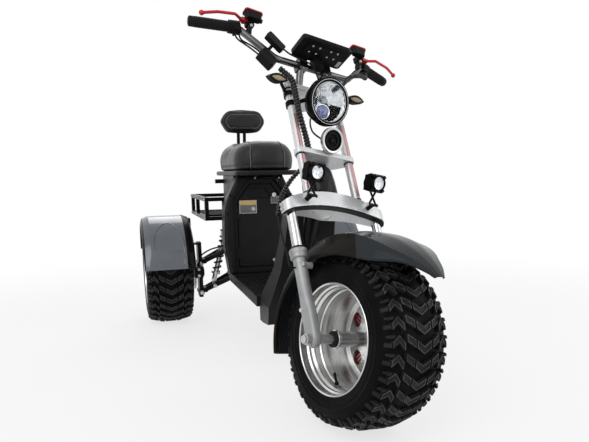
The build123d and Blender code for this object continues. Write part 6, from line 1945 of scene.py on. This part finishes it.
@dataclass
class Hull(Assembly):
    """Trim of the body: door seal, locks, blank plates and screws."""

    body: str = "chassis"
    door_face: float = 0.3066
    half: float = 0.100
    low: float = 0.284
    shoulder: float = 0.574
    top: float = 0.644
    top_half: float = 0.046

    def build(self) -> None:
        """Build the trim."""
        self.door()
        self.plates()
        self.surround()

    def outline(self, grow: float, y: float) -> list[Vector]:
        """Door's outline, grown outward, as points at a depth, starting below."""
        corners = [(-self.half - grow, self.low - grow), (self.half + grow, self.low - grow),
                   (self.half + grow, self.shoulder + grow / 2), (self.top_half + grow / 2, self.top + grow),
                   (-self.top_half - grow / 2, self.top + grow), (-self.half - grow, self.shoulder + grow / 2)]
        loop = [(0.0, self.low - grow)] + corners[1:] + corners[:1] + [(0.0, self.low - grow)]
        return [Vector((p.x, y, p.y)) for p in rounded([(x, z, 0) for x, z in loop], 6, 0.12)]

    def door(self) -> None:
        """Add the locks, the pressed frame and the bezel of the recess."""
        rings, cores = [], []
        for x, z, radius in ((0.062, 0.598, 0.0090), (0.058, 0.306, 0.0080)):
            at = aim((x, self.door_face - 0.003, z), (0, -1, 0))
            rings.append(moved(lathe([(radius - 0.0030, -0.002), (radius + 0.0012, -0.002),
                                      (radius + 0.0016, 0.0016), (radius, 0.0036), (radius - 0.0022, 0.0036),
                                      (radius - 0.0030, 0.0024)], 40), at))
            core = lathe([(0.0, -0.001), (radius - 0.0031, -0.001), (radius - 0.0031, 0.0022), (0.0, 0.0022)], 32)
            slot = moved(block((0.0016, 0.0070, 0.0010), 0.0003), shift(0, 0, 0.0024))
            rings.append(moved(core, at))
            cores.append(moved(slot, at))
        self.show("door_locks", rings, CHROME, body="battery_door")
        self.show("door_keyholes", cores, BLACK_PLASTIC, body="battery_door")
        line = [Vector((x, self.door_face - 0.0004, z)) for x, z in ((-0.086, 0.300), (-0.086, 0.566),
                                                                     (-0.040, 0.628), (0.040, 0.628),
                                                                     (0.086, 0.566), (0.086, 0.300),
                                                                     (-0.086, 0.300))]
        self.show("door_bead", tube(rounded(line, 5, 0.1), 0.0013, 8), CHARCOAL, body="battery_door")
        recess = [Vector((x, self.door_face - 0.0004, z)) for x, z in ((-0.054, 0.5840), (-0.024, 0.6280),
                                                                       (0.024, 0.6280), (0.0545, 0.5840),
                                                                       (-0.054, 0.5840))]
        self.show("door_recess_bead", tube(rounded(recess, 4, 0.08), 0.0012, 8), CHARCOAL, body="battery_door")

    def plates(self) -> None:
        """Fix the blank plates to the door: border, upper band, lower field and spot."""
        y = self.door_face

        def slab(x0: float, x1: float, z0: float, z1: float, proud: float) -> bpy.types.Mesh:
            """Thin upright slab between two corners."""
            shape = block((x1 - x0, 0.0010, z1 - z0), 0.0003)
            return moved(shape, shift((x0 + x1) / 2, y - proud, (z0 + z1) / 2))

        self.show("plate_border", [slab(-0.094, -0.017, 0.519, 0.576, 0.0006),
                                   slab(0.048, 0.085, 0.560, 0.590, 0.0006)], PALE_PLATE, body="battery_door")
        self.show("plate_band", slab(-0.0915, -0.0195, 0.557, 0.5735, 0.0013), YELLOW_PLATE, body="battery_door")
        self.show("plate_field", [slab(-0.0915, -0.0195, 0.5215, 0.5560, 0.0013),
                                  slab(0.050, 0.083, 0.562, 0.588, 0.0013)], GREY_PLATE, body="battery_door")
        spot = lathe([(0.0, 0.0), (0.0085, 0.0), (0.0085, 0.0008), (0.0, 0.0008)], 32)
        self.show("plate_spot", moved(spot, aim((-0.0325, y - 0.0018, 0.5385), (0, -1, 0))), PALE_PLATE,
                  body="battery_door")

    def surround(self) -> None:
        """Seal the door's gap, and add screws to the surround and the floor."""
        self.show("door_seal", tube(self.outline(0.0245, self.door_face - 0.0055), 0.0022, 8), BLACK_PLASTIC)
        screws = []
        for x, z in ((0.136, 0.600), (0.152, 0.520), (0.152, 0.400), (0.136, 0.290)):
            for side in SIDES:
                screws.append(bolt(0.0065, 0.0028, (side * x, 0.2857, z), (0, -1, 0)))
        for y in (-0.170, 0.020, 0.200):
            for side in SIDES:
                screws.append(bolt(0.007, 0.003, (side * 0.1355, y, 0.2540), (0, 0, 1)))
        self.show("body_screws", screws, BLACK_PAINT)


@dataclass
class Rear(Assembly):
    """Trim of the tail: rack, lamps, and the bolts of the rear corners."""

    body: str = "chassis"
    axle_y: float = 0.58661
    rack_half: float = 0.210

    def build(self) -> None:
        """Build the trim."""
        self.lamps()
        self.rack()
        for side in Side:
            self.corner(side)

    def lamps(self) -> None:
        """Frame the tail lamp and glaze the rear signals."""
        rear, bits = 0.7276, []
        for z in (0.3435, 0.4125):
            bits.append(moved(block((0.236, 0.040, 0.004), 0.0015), shift(0, rear - 0.021, z)))
        self.show("tail_lamp_frame", bits, BLACK_PLASTIC)
        amber = [moved(block((0.050, 0.004, 0.016), 0.0015), shift(side * 0.112, 0.6860, 0.656)) for side in SIDES]
        self.show("rear_signal_lenses", amber, AMBER_LENS)

    def rack(self) -> None:
        """Bolt the rack's sides and its feet."""
        bolts = []
        for side in SIDES:
            for y, z in ((0.5066, 0.487), (0.5066, 0.576), (1.0306, 0.487), (1.0306, 0.576), (0.8286, 0.487),
                         (0.8286, 0.576)):
                bolts.append(bolt(0.008, 0.004, (side * (self.rack_half + 0.009), y, z), (side, 0, 0)))
            bolts.append(bolt(0.009, 0.005, (side * 0.128, 0.4976, 0.5), (0, -1, 0)))
        self.show("rack_bolts", bolts, STEEL)

    def corner(self, side: Side) -> None:
        """Bolt the arms, the knuckle, the shock and the caliper of one side.

        Args:
            side: which rear corner.
        """
        out, bolts = side.value, []
        for x, z, half in ((0.245, 0.270, 0.040), (0.245, 0.130, 0.040), (0.0873, 0.345, 0.063),
                           (0.0913, 0.200, 0.063), (0.178, 0.1585, 0.040), (0.112, 0.424, 0.0187)):
            for way in SIDES:
                spot = (out * x, self.axle_y + way * (half + 0.0002), z)
                bolts.append(bolt(0.015, 0.008, spot, (0, way, 0)))
        for height in (-0.015, 0.015):
            bolts.append(bolt(0.010, 0.005, (out * 0.262, self.axle_y - 0.1102, 0.240 + height), (0, -1, 0)))
        bolts.append(bolt(0.024, 0.010, (out * 0.2358, self.axle_y, 0.240), (-out, 0, 0)))
        label = side.name.lower()
        self.show(f"corner_bolts_{label}", bolts, STEEL)
        cap = lathe([(0.0, 0.0), (0.0145, 0.0), (0.0145, 0.003), (0.0120, 0.0045), (0.0, 0.0045)], 32)
        cap = moved(cap, aim((out * 0.2418, self.axle_y - 0.078, 0.226), (-out, 0, 0)))
        self.show(f"caliper_caps_{label}", cap, STEEL)


ARCH = ((-0.062, 14), (-0.066, 46), (0.0, 68), (0.066, 46), (0.062, 14))


def rear_corner(side: Side) -> list[Assembly]:
    """Lay out the tyre, the wheel's trim and the fender of one rear corner."""
    label = side.name.lower()
    joint_name, wheel_body, hood = f"rear_{label}_spin", f"rear_wheel_{label}", f"rear_fender_{label}"
    wheel, upright = wheel_seat(joint_name, side), Seat(shift(*joint(joint_name)["pos_m"]))
    # The rear fender's painted shade lies on its side towards the vehicle's middle.
    return [Tyre(wheel, wheel_body, f"rear_tyre_{label}"), RearWheel(wheel, wheel_body, side),
            Hood(upright, "chassis", hood, REAR_HOOD, FENDER_BLUE, FENDER_DARK, arch=ARCH, inner=-side.value)]


def main() -> None:
    """Build the studio and the sub-assemblies in order."""
    logging.basicConfig(level=logging.INFO, format="%(name)s: %(message)s")
    Studio().build()
    for finish, names in NODES_BY_FINISH:
        for name in names:
            dress_node(name, finish)
    LOG.info("dressed the packed nodes")
    fork, front, whole = fork_seat(), wheel_seat("front_wheel_spin"), Seat(Matrix())
    axle = Seat(fork.matrix @ shift(0.0, Fork.ahead, 0.0))
    parts = [Tyre(front, "front_wheel", "front_tyre"), FrontWheel(front), *rear_corner(Side.RIGHT),
             *rear_corner(Side.LEFT), Hood(axle, "steering", "front_fender", FRONT_HOOD, FENDER_GREY, FENDER_BROWN),
             Fork(fork), Lamps(fork), Bar(fork), Hull(whole), Rear(whole), Seating(whole)]
    for part in parts:
        part.build()
        LOG.info("built %s", type(part).__name__)


if __name__ == "__main__":
    main()
